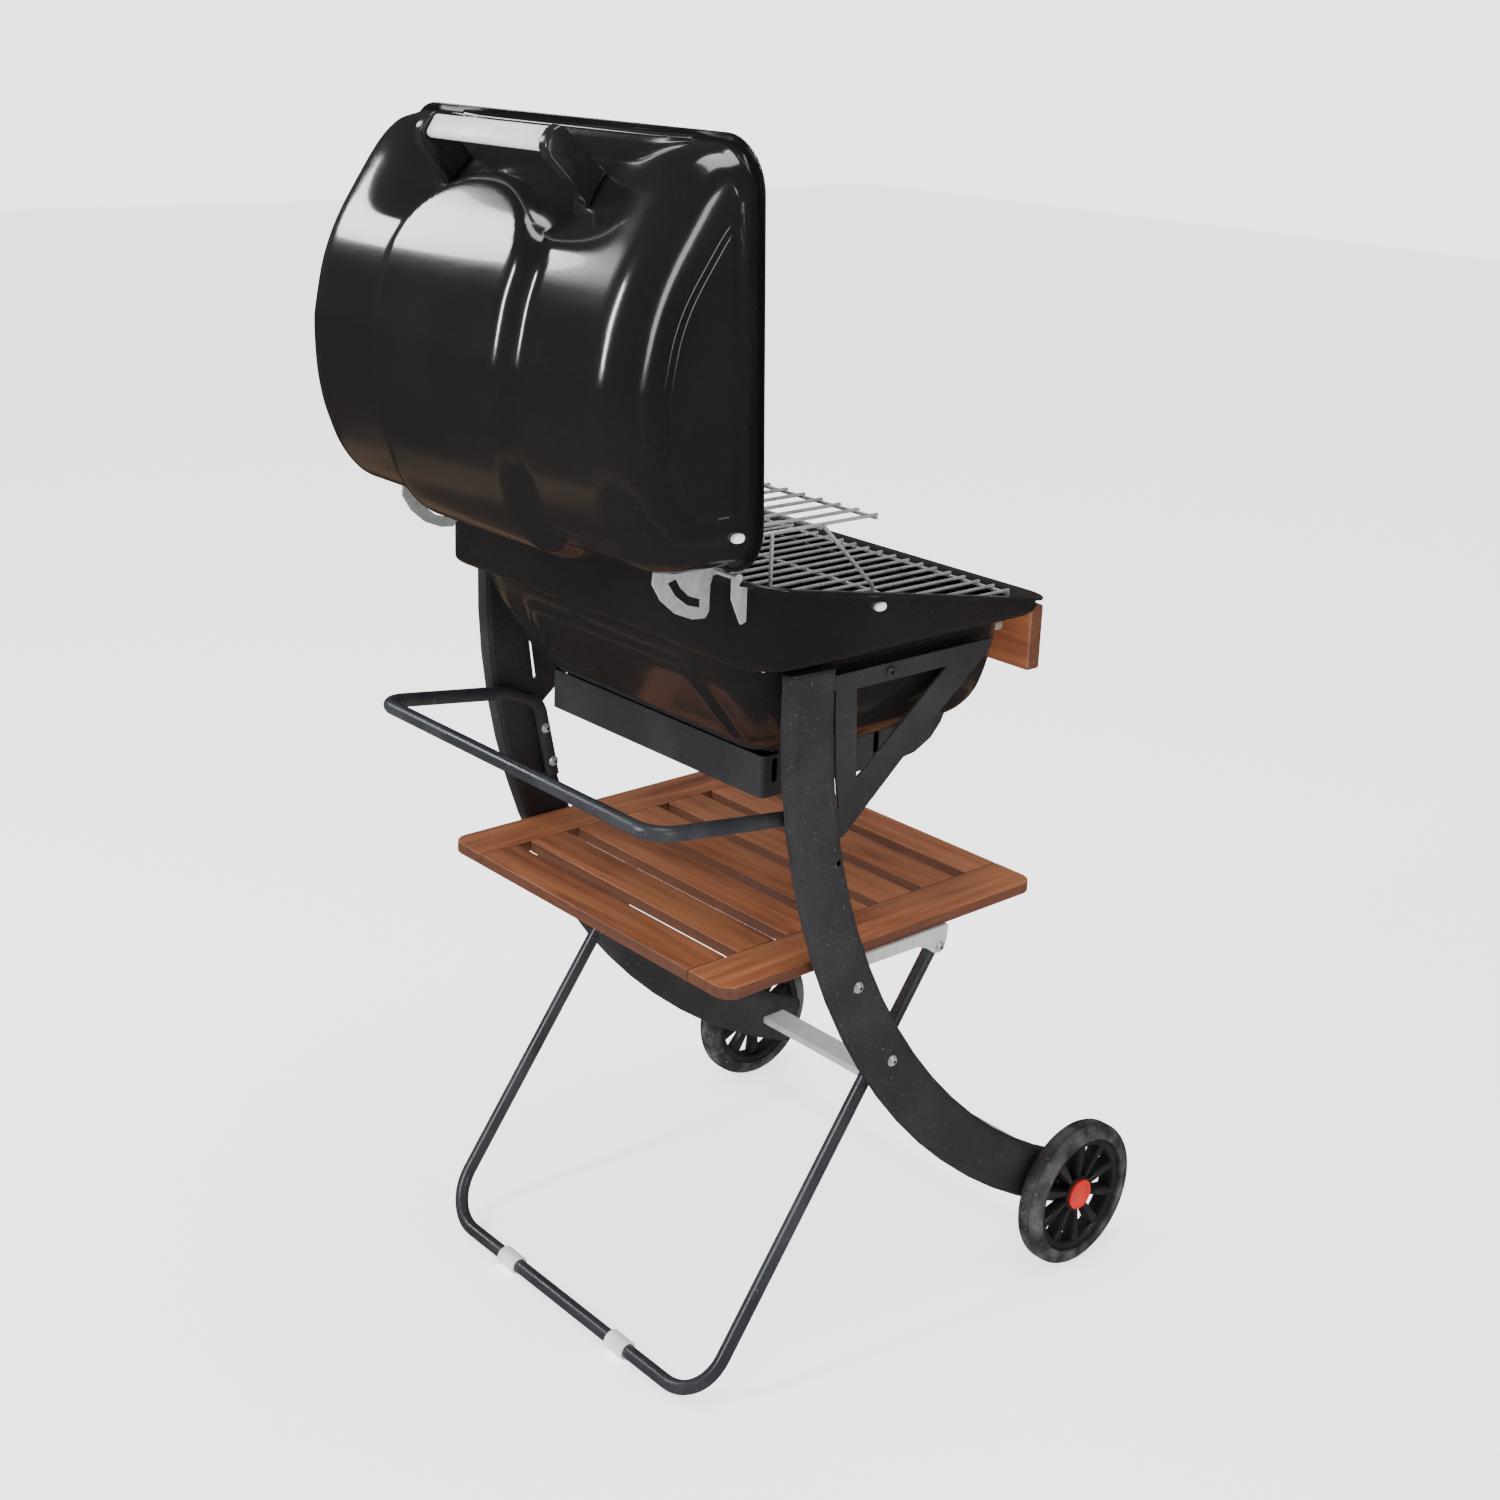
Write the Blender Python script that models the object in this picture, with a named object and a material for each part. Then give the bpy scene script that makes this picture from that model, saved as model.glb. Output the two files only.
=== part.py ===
"""A rectangular charcoal grill with a half-barrel lid, on a folding cart with two wheels.

Metres, +Z up. The cook stands at -Y, the lid hinges at +Y. The origin is on the floor, under the
middle of the whole grill.
"""
from math import cos, hypot, pi, radians, sin, sqrt, tan

import bmesh
import bpy
from mathutils import Matrix, Vector
from mathutils.geometry import tessellate_polygon

# ---- driving dimensions ---------------------------------------------------------------------
GAP = 0.0004                     # between neighbours that touch

WHEEL_RADIUS = 0.089
WHEEL_OUTER_X = 0.3075
WHEEL_WIDTH = 0.030
AXLE_Y = -0.315
AXLE_RADIUS = 0.005

LEG_INNER_X = 0.2505             # the legs' inner faces
LEG_THICK = 0.020
LEG_WIDTH = 0.064
LEG_WALL = 0.0015
LEG_ARC_CENTRE = (-0.641, 0.795)  # Y, Z of the bend's centre
LEG_ARC_RADIUS = 0.7725          # to the middle of the leg
LEG_TOP_ANGLE = radians(1.6)     # above the bend centre's level
LEG_BOTTOM_ANGLE = radians(-68.2)

TUBE_RADIUS = 0.008
TUBE_WALL = 0.0013

SHELF_TOP_Z = 0.495
SHELF_THICK = 0.0135
SHELF_FRONT_Y = -0.2515
SLAT_WIDTH = 0.0512
SLAT_GAP = 0.0174
SLAT_COUNT = 7
SLAT_HALF_LENGTH = 0.1855
RAIL_WIDTH = 0.0617
SHELF_PIVOT = (0.050, 0.460)     # Y, Z of the bolts that carry the shelf
STOP_BOLT = (-0.0077, 0.356)     # Y, Z of the bolts that stop the swing leg
BRACKET_X = 0.259                # the bowl brackets' inner faces
BRACKET_SHEET = 0.003
BOWL_BOLT = (0.020, 0.798)       # Y, Z of the bolts from the brackets into the bowl
HANDLE_BOLT = (0.087, 0.609)     # Y, Z of the bolts from the legs into the push handle
BOLT_RADIUS = 0.003
BOLT_HEAD_RADIUS = 0.00625
BOLT_HEAD_HEIGHT = 0.0045
PIVOT_HEAD_HEIGHT = 0.0035

SWING_PIVOT = (-0.094, 0.4575)   # Y, Z of the swing leg's bolts
SWING_HALF_WIDTH = 0.2394
SWING_FOOT_Y = 0.2238
SWING_BEND_RADIUS = 0.055

HINGE_Y = 0.2175
HINGE_Z = 0.9225
RIM_SLOPE = radians(10.2)        # the bowl's rim falls towards the cook
LID_LEAN = radians(2.4)          # the open lid leans back past upright
RIM_SETBACK = 0.0045             # from the hinge axis forward to the rims' rear edges
RIM_OFFSET = 0.0028              # from the hinge axis down to the lid's rim plane
RIM_GAP = 0.0008                 # between the closed rims
RIM_HALF_X = 0.283
RIM_LENGTH = 0.400               # along the rim, from the hinge to the cook
FLANGE = 0.008
BOWL_LIP = 0.0385                # the bowl's rim runs on this far past the lid, as a flat shelf
SHEET = 0.0018                   # enamelled sheet

LEDGE_Z = 0.8275                 # under the bowl's wide upper band
TUB_BOTTOM_Z = 0.703
COOKING_Z = 0.856                # tops of the three grids
CHARCOAL_Z = 0.752
WARMING_Z = 0.9595

ASH_BOX_HALF_X = 0.182
ASH_BOX_REAR_Y = 0.116
ASH_BOX_BOTTOM_Z = 0.657
ASH_BOX_TOP_Z = 0.7025

CENTRE_Y = 0.0055                # moves the finished grill so the origin is under its middle

RIGHT, LEFT = 1, -1


# ---- materials and small helpers ------------------------------------------------------------
def material(name, colour, roughness, metallic=0.0):
    m = bpy.data.materials.new(name)
    m.use_nodes = True
    shader = m.node_tree.nodes["Principled BSDF"]
    shader.inputs["Base Color"].default_value = (*colour, 1.0)
    shader.inputs["Roughness"].default_value = roughness
    shader.inputs["Metallic"].default_value = metallic
    return m


def make_object(name, bm, look, smooth_angle=35):
    """Turns a bmesh into a named object, with outward normals."""
    bmesh.ops.recalc_face_normals(bm, faces=bm.faces[:])
    mesh = bpy.data.meshes.new(name)
    bm.to_mesh(mesh)
    bm.free()
    obj = bpy.data.objects.new(name, mesh)
    bpy.context.scene.collection.objects.link(obj)
    mesh.materials.append(look)
    mesh.shade_smooth()
    mesh.set_sharp_from_angle(angle=radians(smooth_angle))
    return obj


def cut(obj, cutter):
    """Takes the cutter's shape out of obj and removes the cutter."""
    boolean = obj.modifiers.new("cut", "BOOLEAN")
    boolean.operation = "DIFFERENCE"
    boolean.solver = "EXACT"
    boolean.object = cutter
    cutter.hide_render = True
    cutter.display_type = "WIRE"


def arc_points(centre, radius, start, end, steps):
    """Points on an arc in a plane, angles in degrees, both ends included."""
    return [(centre[0] + radius * cos(radians(start + (end - start) * i / steps)),
             centre[1] + radius * sin(radians(start + (end - start) * i / steps)))
            for i in range(steps + 1)]


def rounded_rectangle(x0, x1, y0, y1, radius, steps=5):
    """A counter-clockwise loop with round corners."""
    loop = []
    for cx, cy, start in ((x1 - radius, y0 + radius, -90), (x1 - radius, y1 - radius, 0),
                          (x0 + radius, y1 - radius, 90), (x0 + radius, y0 + radius, 180)):
        loop += arc_points((cx, cy), radius, start, start + 90, steps)
    return loop


def prism(name, loops, place, look, thickness):
    """A flat part: the first loop is its outline and the others are its windows.

    place(a, b, t) turns a point of the flat outline, at t through the thickness, into space.
    """
    bm = bmesh.new()
    rings = []
    for t in (0.0, thickness):
        rings.append([[bm.verts.new(place(a, b, t)) for a, b in loop] for loop in loops])
    flat = [[Vector((a, b, 0.0)) for a, b in loop] for loop in loops]
    for side in (0, 1):
        verts = [v for ring in rings[side] for v in ring]
        for triangle in tessellate_polygon(flat):
            bm.faces.new([verts[i] for i in triangle])
    for low, high in zip(rings[0], rings[1]):
        for i in range(len(low)):
            j = (i + 1) % len(low)
            bm.faces.new((low[i], low[j], high[j], high[i]))
    return make_object(name, bm, look)


def yz_plate(name, loops, x, thickness, look):
    """A plate that stands in the YZ plane, from x to x + thickness."""
    return prism(name, loops, lambda a, b, t: (x + t, a, b), look, thickness)


def side_plate(base, side, loops, x, thickness, look):
    """A plate on one side, from |x| outwards."""
    start = x if side == RIGHT else -x - thickness
    return yz_plate(side_name(base, side), loops, start, thickness, look)


def circle(y, z, radius, steps=14):
    return [(y + radius * cos(2 * pi * k / steps), z + radius * sin(2 * pi * k / steps))
            for k in range(steps)]


def grid(name, xs, ys, zs, solid, look):
    """A body made of the solid cells between the planes xs, ys and zs."""
    bm = bmesh.new()
    verts = {}

    def vert(i, j, k):
        if (i, j, k) not in verts:
            verts[(i, j, k)] = bm.verts.new((xs[i], ys[j], zs[k]))
        return verts[(i, j, k)]

    def filled(i, j, k):
        inside = 0 <= i < len(xs) - 1 and 0 <= j < len(ys) - 1 and 0 <= k < len(zs) - 1
        return inside and solid(i, j, k)

    for i in range(len(xs) - 1):
        for j in range(len(ys) - 1):
            for k in range(len(zs) - 1):
                if not filled(i, j, k):
                    continue
                for step in ((1, 0, 0), (0, 1, 0), (0, 0, 1), (-1, 0, 0), (0, -1, 0), (0, 0, -1)):
                    if filled(i + step[0], j + step[1], k + step[2]):
                        continue
                    axis = [abs(c) for c in step].index(1)
                    at = [i, j, k]
                    at[axis] += 1 if step[axis] > 0 else 0
                    u, v = [n for n in range(3) if n != axis]
                    corners = []
                    for a, b in ((0, 0), (1, 0), (1, 1), (0, 1)):
                        corner = list(at)
                        corner[u] += a
                        corner[v] += b
                        corners.append(vert(*corner))
                    bm.faces.new(corners)
    return make_object(name, bm, look)


def loft(name, rings, look, closed_ends=True, smooth_angle=35):
    """Joins rings with the same number of points, and caps the first and last."""
    bm = bmesh.new()
    made = [[bm.verts.new(p) for p in ring] for ring in rings]
    for low, high in zip(made, made[1:]):
        for i in range(len(low)):
            j = (i + 1) % len(low)
            bm.faces.new((low[i], low[j], high[j], high[i]))
    if closed_ends:
        bm.faces.new(made[0][::-1])
        bm.faces.new(made[-1])
    else:
        for i in range(len(made[0])):
            j = (i + 1) % len(made[0])
            bm.faces.new((made[-1][i], made[-1][j], made[0][j], made[0][i]))
    return make_object(name, bm, look, smooth_angle)


def turned(name, profile, centre, look, steps=24, smooth_angle=35):
    """A solid turned about an axis along X; profile holds (x, radius) and starts and ends at radius 0
    for a solid piece, or is a closed loop of points for a ring."""
    solid = profile[0][1] == 0.0
    bm = bmesh.new()
    columns = []
    for x, radius in profile:
        if radius == 0.0:
            columns.append([bm.verts.new((x, centre[0], centre[1]))])
        else:
            columns.append([bm.verts.new((x, centre[0] + radius * cos(2 * pi * k / steps),
                                          centre[1] + radius * sin(2 * pi * k / steps)))
                            for k in range(steps)])
    pairs = list(zip(columns, columns[1:]))
    if not solid:
        pairs.append((columns[-1], columns[0]))
    for a, b in pairs:
        for k in range(steps):
            n = (k + 1) % steps
            if len(a) == 1:
                bm.faces.new((a[0], b[k], b[n]))
            elif len(b) == 1:
                bm.faces.new((a[k], a[n], b[0]))
            else:
                bm.faces.new((a[k], a[n], b[n], b[k]))
    return make_object(name, bm, look, smooth_angle)


def rounded_path(corners, radius, steps=6):
    """A polyline whose inner corners become arcs."""
    points = [Vector(corners[0])]
    for before, corner, after in zip(corners, corners[1:], corners[2:]):
        corner = Vector(corner)
        back = (Vector(before) - corner).normalized()
        ahead = (Vector(after) - corner).normalized()
        half = back.angle(ahead) / 2
        reach = radius / tan(half)
        middle = corner + (back + ahead).normalized() * (radius / sin(half))
        start, end = corner + back * reach, corner + ahead * reach
        a, b = start - middle, end - middle
        whole = a.angle(b)
        for i in range(steps + 1):
            t = whole * i / steps
            points.append(middle + (a * sin(whole - t) + b * sin(t)) / sin(whole))
    points.append(Vector(corners[-1]))
    return points


def tube(name, path, radius, wall, look, sides=12):
    """A round tube along a path, open at both ends; a wall of 0 makes a solid rod."""
    path = [Vector(p) for p in path]
    tangents = []
    for i in range(len(path)):
        ahead = path[min(i + 1, len(path) - 1)] - path[max(i - 1, 0)]
        tangents.append(ahead.normalized())
    side = tangents[0].orthogonal().normalized()
    frames = []
    for tangent in tangents:
        side = (side - tangent * side.dot(tangent)).normalized()
        frames.append((side.copy(), tangent.cross(side)))

    def ring(i, r):
        u, v = frames[i]
        return [path[i] + u * (r * cos(2 * pi * k / sides)) + v * (r * sin(2 * pi * k / sides))
                for k in range(sides)]

    outer = [ring(i, radius) for i in range(len(path))]
    if wall == 0.0:
        return loft(name, outer, look, smooth_angle=50)
    inner = [ring(i, radius - wall) for i in range(len(path))]
    return loft(name, outer + inner[::-1], look, closed_ends=False, smooth_angle=50)


def bolt(name, x, y, z, side, head_height, shank, look):
    """A round-headed bolt along X; the head's inner face is at x and its dome points to side."""
    profile = [(x - side * shank, 0.0), (x - side * shank, BOLT_RADIUS), (x, BOLT_RADIUS),
               (x, BOLT_HEAD_RADIUS), (x + side * head_height * 0.45, BOLT_HEAD_RADIUS * 0.95),
               (x + side * head_height * 0.85, BOLT_HEAD_RADIUS * 0.6), (x + side * head_height, 0.0)]
    return turned(name, profile, (y, z), look, steps=16)


def side_name(base, side):
    return f"{base}_{'right' if side == RIGHT else 'left'}"


# ---- frame: legs, brackets, handle, axle ----------------------------------------------------
def leg_point(angle, across):
    """Y, Z at an angle of the leg's bend, across metres out from its middle line."""
    r = LEG_ARC_RADIUS + across
    return (LEG_ARC_CENTRE[0] + r * cos(angle), LEG_ARC_CENTRE[1] + r * sin(angle))


def leg_section(angle, half_width, half_thick, middle_x):
    """The flat-oval section of a leg: two flats joined by half rounds."""
    ring = []
    flat = half_width - half_thick
    for centre, start in ((flat, -90), (-flat, 90)):
        for k in range(6):
            a = radians(start + 180 * k / 5)
            y, z = leg_point(angle, centre + half_thick * cos(a))
            ring.append((middle_x + half_thick * sin(a), y, z))
    return ring


def side_leg(side, look):
    middle = side * (LEG_INNER_X + LEG_THICK / 2)
    steps = 18
    angles = [LEG_TOP_ANGLE + (LEG_BOTTOM_ANGLE - LEG_TOP_ANGLE) * i / steps
              for i in range(steps + 1)]
    outer = [leg_section(a, LEG_WIDTH / 2, LEG_THICK / 2, middle) for a in angles]
    inner = [leg_section(a, LEG_WIDTH / 2 - LEG_WALL, LEG_THICK / 2 - LEG_WALL, middle)
             for a in reversed(angles)]
    return loft(side_name("side_leg", side), outer + inner, look, closed_ends=False)


def leg_plug(side, look):
    """A plastic plug: a stub inside the top of the tube and a thin flat-oval cap over it."""
    middle = side * (LEG_INNER_X + LEG_THICK / 2)
    inset = LEG_WALL + GAP

    def ring(shift, trim):
        return leg_section(LEG_TOP_ANGLE + shift / LEG_ARC_RADIUS, LEG_WIDTH / 2 - trim,
                           LEG_THICK / 2 - trim, middle)

    rings = [ring(-0.012, inset + 0.001), ring(-0.010, inset), ring(GAP, inset),
             ring(GAP, 0.0), ring(0.0022, 0.0), ring(0.0030, 0.0015)]
    return loft(side_name("leg_plug", side), rings, look)


def bowl_bracket(side, look):
    """A triangular plate that carries the bowl, beside the leg, with a window in it."""
    top, low = 0.8075, 0.632
    front = -0.132

    def leg_front(z):
        r = LEG_ARC_RADIUS - LEG_WIDTH / 2
        return LEG_ARC_CENTRE[0] + sqrt(r * r - (z - LEG_ARC_CENTRE[1]) ** 2) - GAP

    slit = 0.0045
    outline = [(front, top), (-0.124, 0.792), (-0.081, 0.759), (-0.006, 0.700),
               (leg_front(low) - 0.006, low), (leg_front(low), low), (leg_front(low + 0.030), low + 0.030),
               (leg_front(low + 0.032) - slit, low + 0.034),
               (leg_front(0.705) - slit, 0.705), (leg_front(0.77) - slit, 0.770),
               (leg_front(top - 0.016) - slit, top - 0.016), (leg_front(top - 0.012), top - 0.012),
               (leg_front(top), top)]
    window = [(-0.064, 0.7885), (0.066, 0.7885), (0.060, 0.692), (0.049, 0.6995)]
    bolt_hole = circle(*BOWL_BOLT, BOLT_RADIUS + GAP)
    return side_plate("bowl_bracket", side, [outline, window, bolt_hole], BRACKET_X,
                      BRACKET_SHEET, look)


def push_handle(look):
    """One tube: down the inside of each leg, back past the lid, and across behind the bowl."""
    x = LEG_INNER_X - GAP - TUBE_RADIUS
    ends = [(x, 0.071, 0.546), (x, 0.092, 0.640), (x, 0.135, 0.660), (x, 0.305, 0.682)]
    corners = [(-px, y, z) for px, y, z in ends]
    corners += [(px, y, z) for px, y, z in reversed(ends)]
    path = rounded_path(corners, 0.028, 5)
    return tube("push_handle", path, TUBE_RADIUS, TUBE_WALL, look)


def axle_channel(look):
    """A folded strip over the axle, between the legs."""
    y0, y1, top, sheet, drop = AXLE_Y - 0.018, AXLE_Y + 0.018, 0.103, 0.002, 0.009
    section = [(y0, top - drop), (y0 + sheet, top - drop), (y0 + sheet, top - sheet),
               (y1 - sheet, top - sheet), (y1 - sheet, top - drop), (y1, top - drop),
               (y1, top), (y0, top)]
    reach = LEG_INNER_X - GAP
    return yz_plate("axle_channel", [section], -reach, 2 * reach, look)


# ---- bowl -----------------------------------------------------------------------------------
def bowl_rim_z(y):
    """Height of the bowl's rim plane at y."""
    drop = RIM_OFFSET + RIM_GAP
    return HINGE_Z - drop / cos(RIM_SLOPE) + (y - HINGE_Y) * tan(RIM_SLOPE)


def bowl_rear_y():
    return HINGE_Y - RIM_SETBACK * cos(RIM_SLOPE) + (RIM_OFFSET + RIM_GAP) * sin(RIM_SLOPE)


def bowl(look):
    """A thin deep-drawn tub: a wide band under the sloping rim, a ledge and a narrower belly."""
    rear = bowl_rear_y()
    front = rear - (RIM_LENGTH + BOWL_LIP) * cos(RIM_SLOPE)
    wall_x, wall_front, wall_rear = RIM_HALF_X - FLANGE, front + FLANGE, rear - FLANGE
    mouth_x, mouth_front, mouth_rear = wall_x - 0.004, -0.166, wall_rear - 0.004

    def ring(half_x, y0, y1, radius, height, inset=0.0):
        loop = rounded_rectangle(-half_x + inset, half_x - inset, y0 + inset, y1 - inset,
                                 radius - inset, 6)
        return [(x, y, height(y)) for x, y in loop]

    def band_bottom(y):
        return min(LEDGE_Z, bowl_rim_z(y) - 0.016)

    belly = [(0.2480, -0.190, 0.187, 0.060, 0.821), (0.2475, -0.187, 0.1745, 0.062, 0.790),
             (0.2440, -0.179, 0.154, 0.064, 0.755), (0.2360, -0.172, 0.141, 0.062, 0.733),
             (0.2200, -0.161, 0.130, 0.056, 0.716), (0.1950, -0.148, 0.119, 0.046, 0.7065),
             (0.1750, -0.132, 0.100, 0.036, TUB_BOTTOM_Z)]
    lip = 0.052
    rings = [ring(wall_x, wall_front, wall_rear, lip - FLANGE, lambda y: bowl_rim_z(y) - SHEET)]
    rings.append(ring(RIM_HALF_X, front, rear, lip, lambda y: bowl_rim_z(y) - SHEET))
    rings.append(ring(RIM_HALF_X, front, rear, lip, bowl_rim_z))
    rings.append(ring(mouth_x, mouth_front, mouth_rear, lip - FLANGE - 0.004, bowl_rim_z))
    rings.append(ring(mouth_x, mouth_front, mouth_rear, lip - FLANGE - 0.004,
                      lambda y: bowl_rim_z(y) - SHEET))
    rings.append(ring(wall_x, wall_front, wall_rear, lip - FLANGE,
                      lambda y: bowl_rim_z(y) - SHEET, SHEET))
    rings.append(ring(wall_x, wall_front, wall_rear, lip - FLANGE,
                      lambda y: band_bottom(y) + 0.004, SHEET))
    rings.append(ring(wall_x - 0.004, wall_front + 0.004, wall_rear - 0.004, lip - FLANGE - 0.004,
                      lambda y: band_bottom(y) + SHEET, SHEET))
    rings += [ring(hx, y0, y1, r, lambda y, z=z: z + SHEET * 0.5, SHEET)
              for hx, y0, y1, r, z in belly[:-1]]
    rings += [ring(hx, y0, y1, r, lambda y, z=z: z + SHEET, SHEET) for hx, y0, y1, r, z in belly[-1:]]
    outer = [ring(hx, y0, y1, r, lambda y, z=z: z) for hx, y0, y1, r, z in belly]
    outer.append(ring(wall_x - 0.004, wall_front + 0.004, wall_rear - 0.004, lip - FLANGE - 0.004,
                      band_bottom))
    outer_low = ring(wall_x, wall_front, wall_rear, lip - FLANGE, lambda y: band_bottom(y) + 0.004)
    bm = bmesh.new()
    outside = [outer_low, outer[-1]] + outer[:-1]
    made = [[bm.verts.new(p) for p in r] for r in outside[::-1] + rings]
    for low, high in zip(made, made[1:]):
        for i in range(len(low)):
            j = (i + 1) % len(low)
            bm.faces.new((low[i], low[j], high[j], high[i]))
    bm.faces.new(made[0][::-1])
    bm.faces.new(made[-1])
    return make_object("bowl", bm, look, 40)


def ash_box(look):
    """An open-topped sheet box under the belly: curved at the front, with vent slots at the sides."""
    sheet = 0.0015
    fronts = [(ASH_BOX_BOTTOM_Z, -0.085), (0.6605, -0.112), (0.6720, -0.136), (0.6880, -0.151),
              (ASH_BOX_TOP_Z, -0.158)]

    def ring(z, front, inset):
        loop = rounded_rectangle(-ASH_BOX_HALF_X + inset, ASH_BOX_HALF_X - inset, front + inset,
                                 ASH_BOX_REAR_Y - inset, 0.006 - inset, 3)
        return [(x, y, z) for x, y in loop]

    rings = [ring(z, front, 0.0) for z, front in fronts]
    rings += [ring(z, front, sheet) for z, front in reversed(fronts[1:])]
    rings.append(ring(ASH_BOX_BOTTOM_Z + sheet, -0.085, sheet))
    box = loft("ash_box", rings, look)
    bm = bmesh.new()
    for y in (-0.047, 0.0017, 0.0503, 0.099):
        slot = arc_points((y, 0.6945), 0.004, 0, 180, 6) + arc_points((y, 0.676), 0.004, 180, 360, 6)
        ends = [[bm.verts.new((x, a, b)) for a, b in slot] for x in (-0.2, 0.2)]
        for i in range(len(slot)):
            j = (i + 1) % len(slot)
            bm.faces.new((ends[0][i], ends[0][j], ends[1][j], ends[1][i]))
        bm.faces.new(ends[0][::-1])
        bm.faces.new(ends[1])
    cut(box, make_object("ash_box_slots", bm, look))
    return box


BAR_REAR_Y = -0.2055
BAR_BOLT_X, BAR_BOLT_Z = 0.205, 0.796


def front_bar(look):
    """The wooden board across the front, with a hole at each end for its bolt."""
    y0, half = BAR_REAR_Y - 0.020, 0.2505
    loop = rounded_rectangle(-half, half, 0.7535, 0.8265, 0.004, 3)
    holes = [circle(side * BAR_BOLT_X, BAR_BOLT_Z, BOLT_RADIUS + GAP) for side in (LEFT, RIGHT)]
    return prism("front_bar", [loop] + holes, lambda a, b, t: (a, y0 + t, b), look, 0.020)


def front_bar_bolt(side, look):
    """A domed bolt through the board, with a spacer sleeve behind it that meets the belly."""
    face, rear = BAR_REAR_Y - 0.020 - GAP, BAR_REAR_Y + GAP
    profile = [(face - 0.004, 0.0), (face - 0.0032, 0.004), (face - 0.0016, 0.006), (face, BOLT_HEAD_RADIUS),
               (face, BOLT_RADIUS), (rear, BOLT_RADIUS), (rear, 0.0055), (-0.1882, 0.0055),
               (-0.1882, 0.0)]
    bolt_body = turned(side_name("front_bar_bolt", side), profile, (0.0, 0.0), look, steps=16)
    bolt_body.data.transform(Matrix(((0, -1, 0, side * BAR_BOLT_X), (1, 0, 0, 0), (0, 0, 1, BAR_BOLT_Z),
                                     (0, 0, 0, 1))))
    return bolt_body


# ---- lid ------------------------------------------------------------------------------------
def lid_point(x, s, h):
    """A point of the open lid: s along its rim from the hinge edge, h out from the rim plane."""
    y = HINGE_Y + (s + RIM_SETBACK) * sin(LID_LEAN) + (h - RIM_OFFSET) * cos(LID_LEAN)
    z = HINGE_Z + (s + RIM_SETBACK) * cos(LID_LEAN) - (h - RIM_OFFSET) * sin(LID_LEAN)
    return (x, y, z)


LID_PROFILE = [(0.008, 0.0), (0.0080, 0.025), (0.0085, 0.055), (0.0115, 0.082), (0.0210, 0.1055),
               (0.0370, 0.1220), (0.0587, 0.1355), (0.081, 0.1440), (0.103, 0.1505), (0.130, 0.1550),
               (0.157, 0.1565), (0.185, 0.1560), (0.2027, 0.1537), (0.2418, 0.1440), (0.266, 0.1350),
               (0.286, 0.1250), (0.306, 0.1125), (0.324, 0.0995), (0.342, 0.0860), (0.358, 0.0735),
               (0.375, 0.0575), (0.387, 0.0400), (0.3915, 0.0200), (0.392, 0.0)]
LID_STEP = 0.0150                # the middle third stands this much prouder
LID_STEP_INNER, LID_STEP_OUTER = 0.100, 0.130
LID_STEP_FROM_S, LID_STEP_TO_S = 0.270, 0.352  # where the proud panel narrows into a round arch
LID_RECESS = 0.021               # the hollow round the handle's feet, along the surface normal
LID_EDGE_RADIUS = 0.042          # between the barrel and its flat ends
LID_WALL_X = RIM_HALF_X - FLANGE


def lid_normal(i):
    """The profile's outward normal at point i; level with the rim plane at both ends."""
    if i == 0:
        return (-1.0, 0.0)
    if i == len(LID_PROFILE) - 1:
        return (1.0, 0.0)
    (s0, h0), (s1, h1) = LID_PROFILE[i - 1], LID_PROFILE[i + 1]
    length = hypot(s1 - s0, h1 - h0)
    return (-(h1 - h0) / length, (s1 - s0) / length)


def ease(value, start, end):
    """0 at start, 1 at end, with soft ends."""
    t = min(1.0, max(0.0, (value - start) / (end - start)))
    return t * t * (3 - 2 * t)


def lid_relief(x, s, h):
    """How far the pressed shape stands out from the plain barrel at a point."""
    arch = min(1.0, max(0.0, (s - LID_STEP_FROM_S) / (LID_STEP_TO_S - LID_STEP_FROM_S)))
    edge = LID_STEP_OUTER * sqrt(1.0 - arch * arch)
    panel = LID_STEP * ease(abs(x), edge, edge - LID_STEP_OUTER + LID_STEP_INNER) * min(1.0, h / 0.06)
    start = 0.335 - 0.038 * min(1.0, abs(x) / 0.11) ** 2
    hollow = ease(s, start, start + 0.042) * ease(abs(x), 0.225, 0.115) * min(1.0, h / 0.032)
    return panel - LID_RECESS * hollow


def lid_section(x, inset, shrink, floor):
    """One section across the lid; inset rounds its ends and shrink makes the inner surface."""
    points = []
    for i, (s, h) in enumerate(LID_PROFILE):
        n = lid_normal(i)
        out = lid_relief(x, s, h) - inset - shrink
        height = max(floor, h + n[1] * out)
        draft = 1.0 - 0.022 * h / 0.15
        points.append(lid_point(x * draft, s + n[0] * out, height))
    return points


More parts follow.
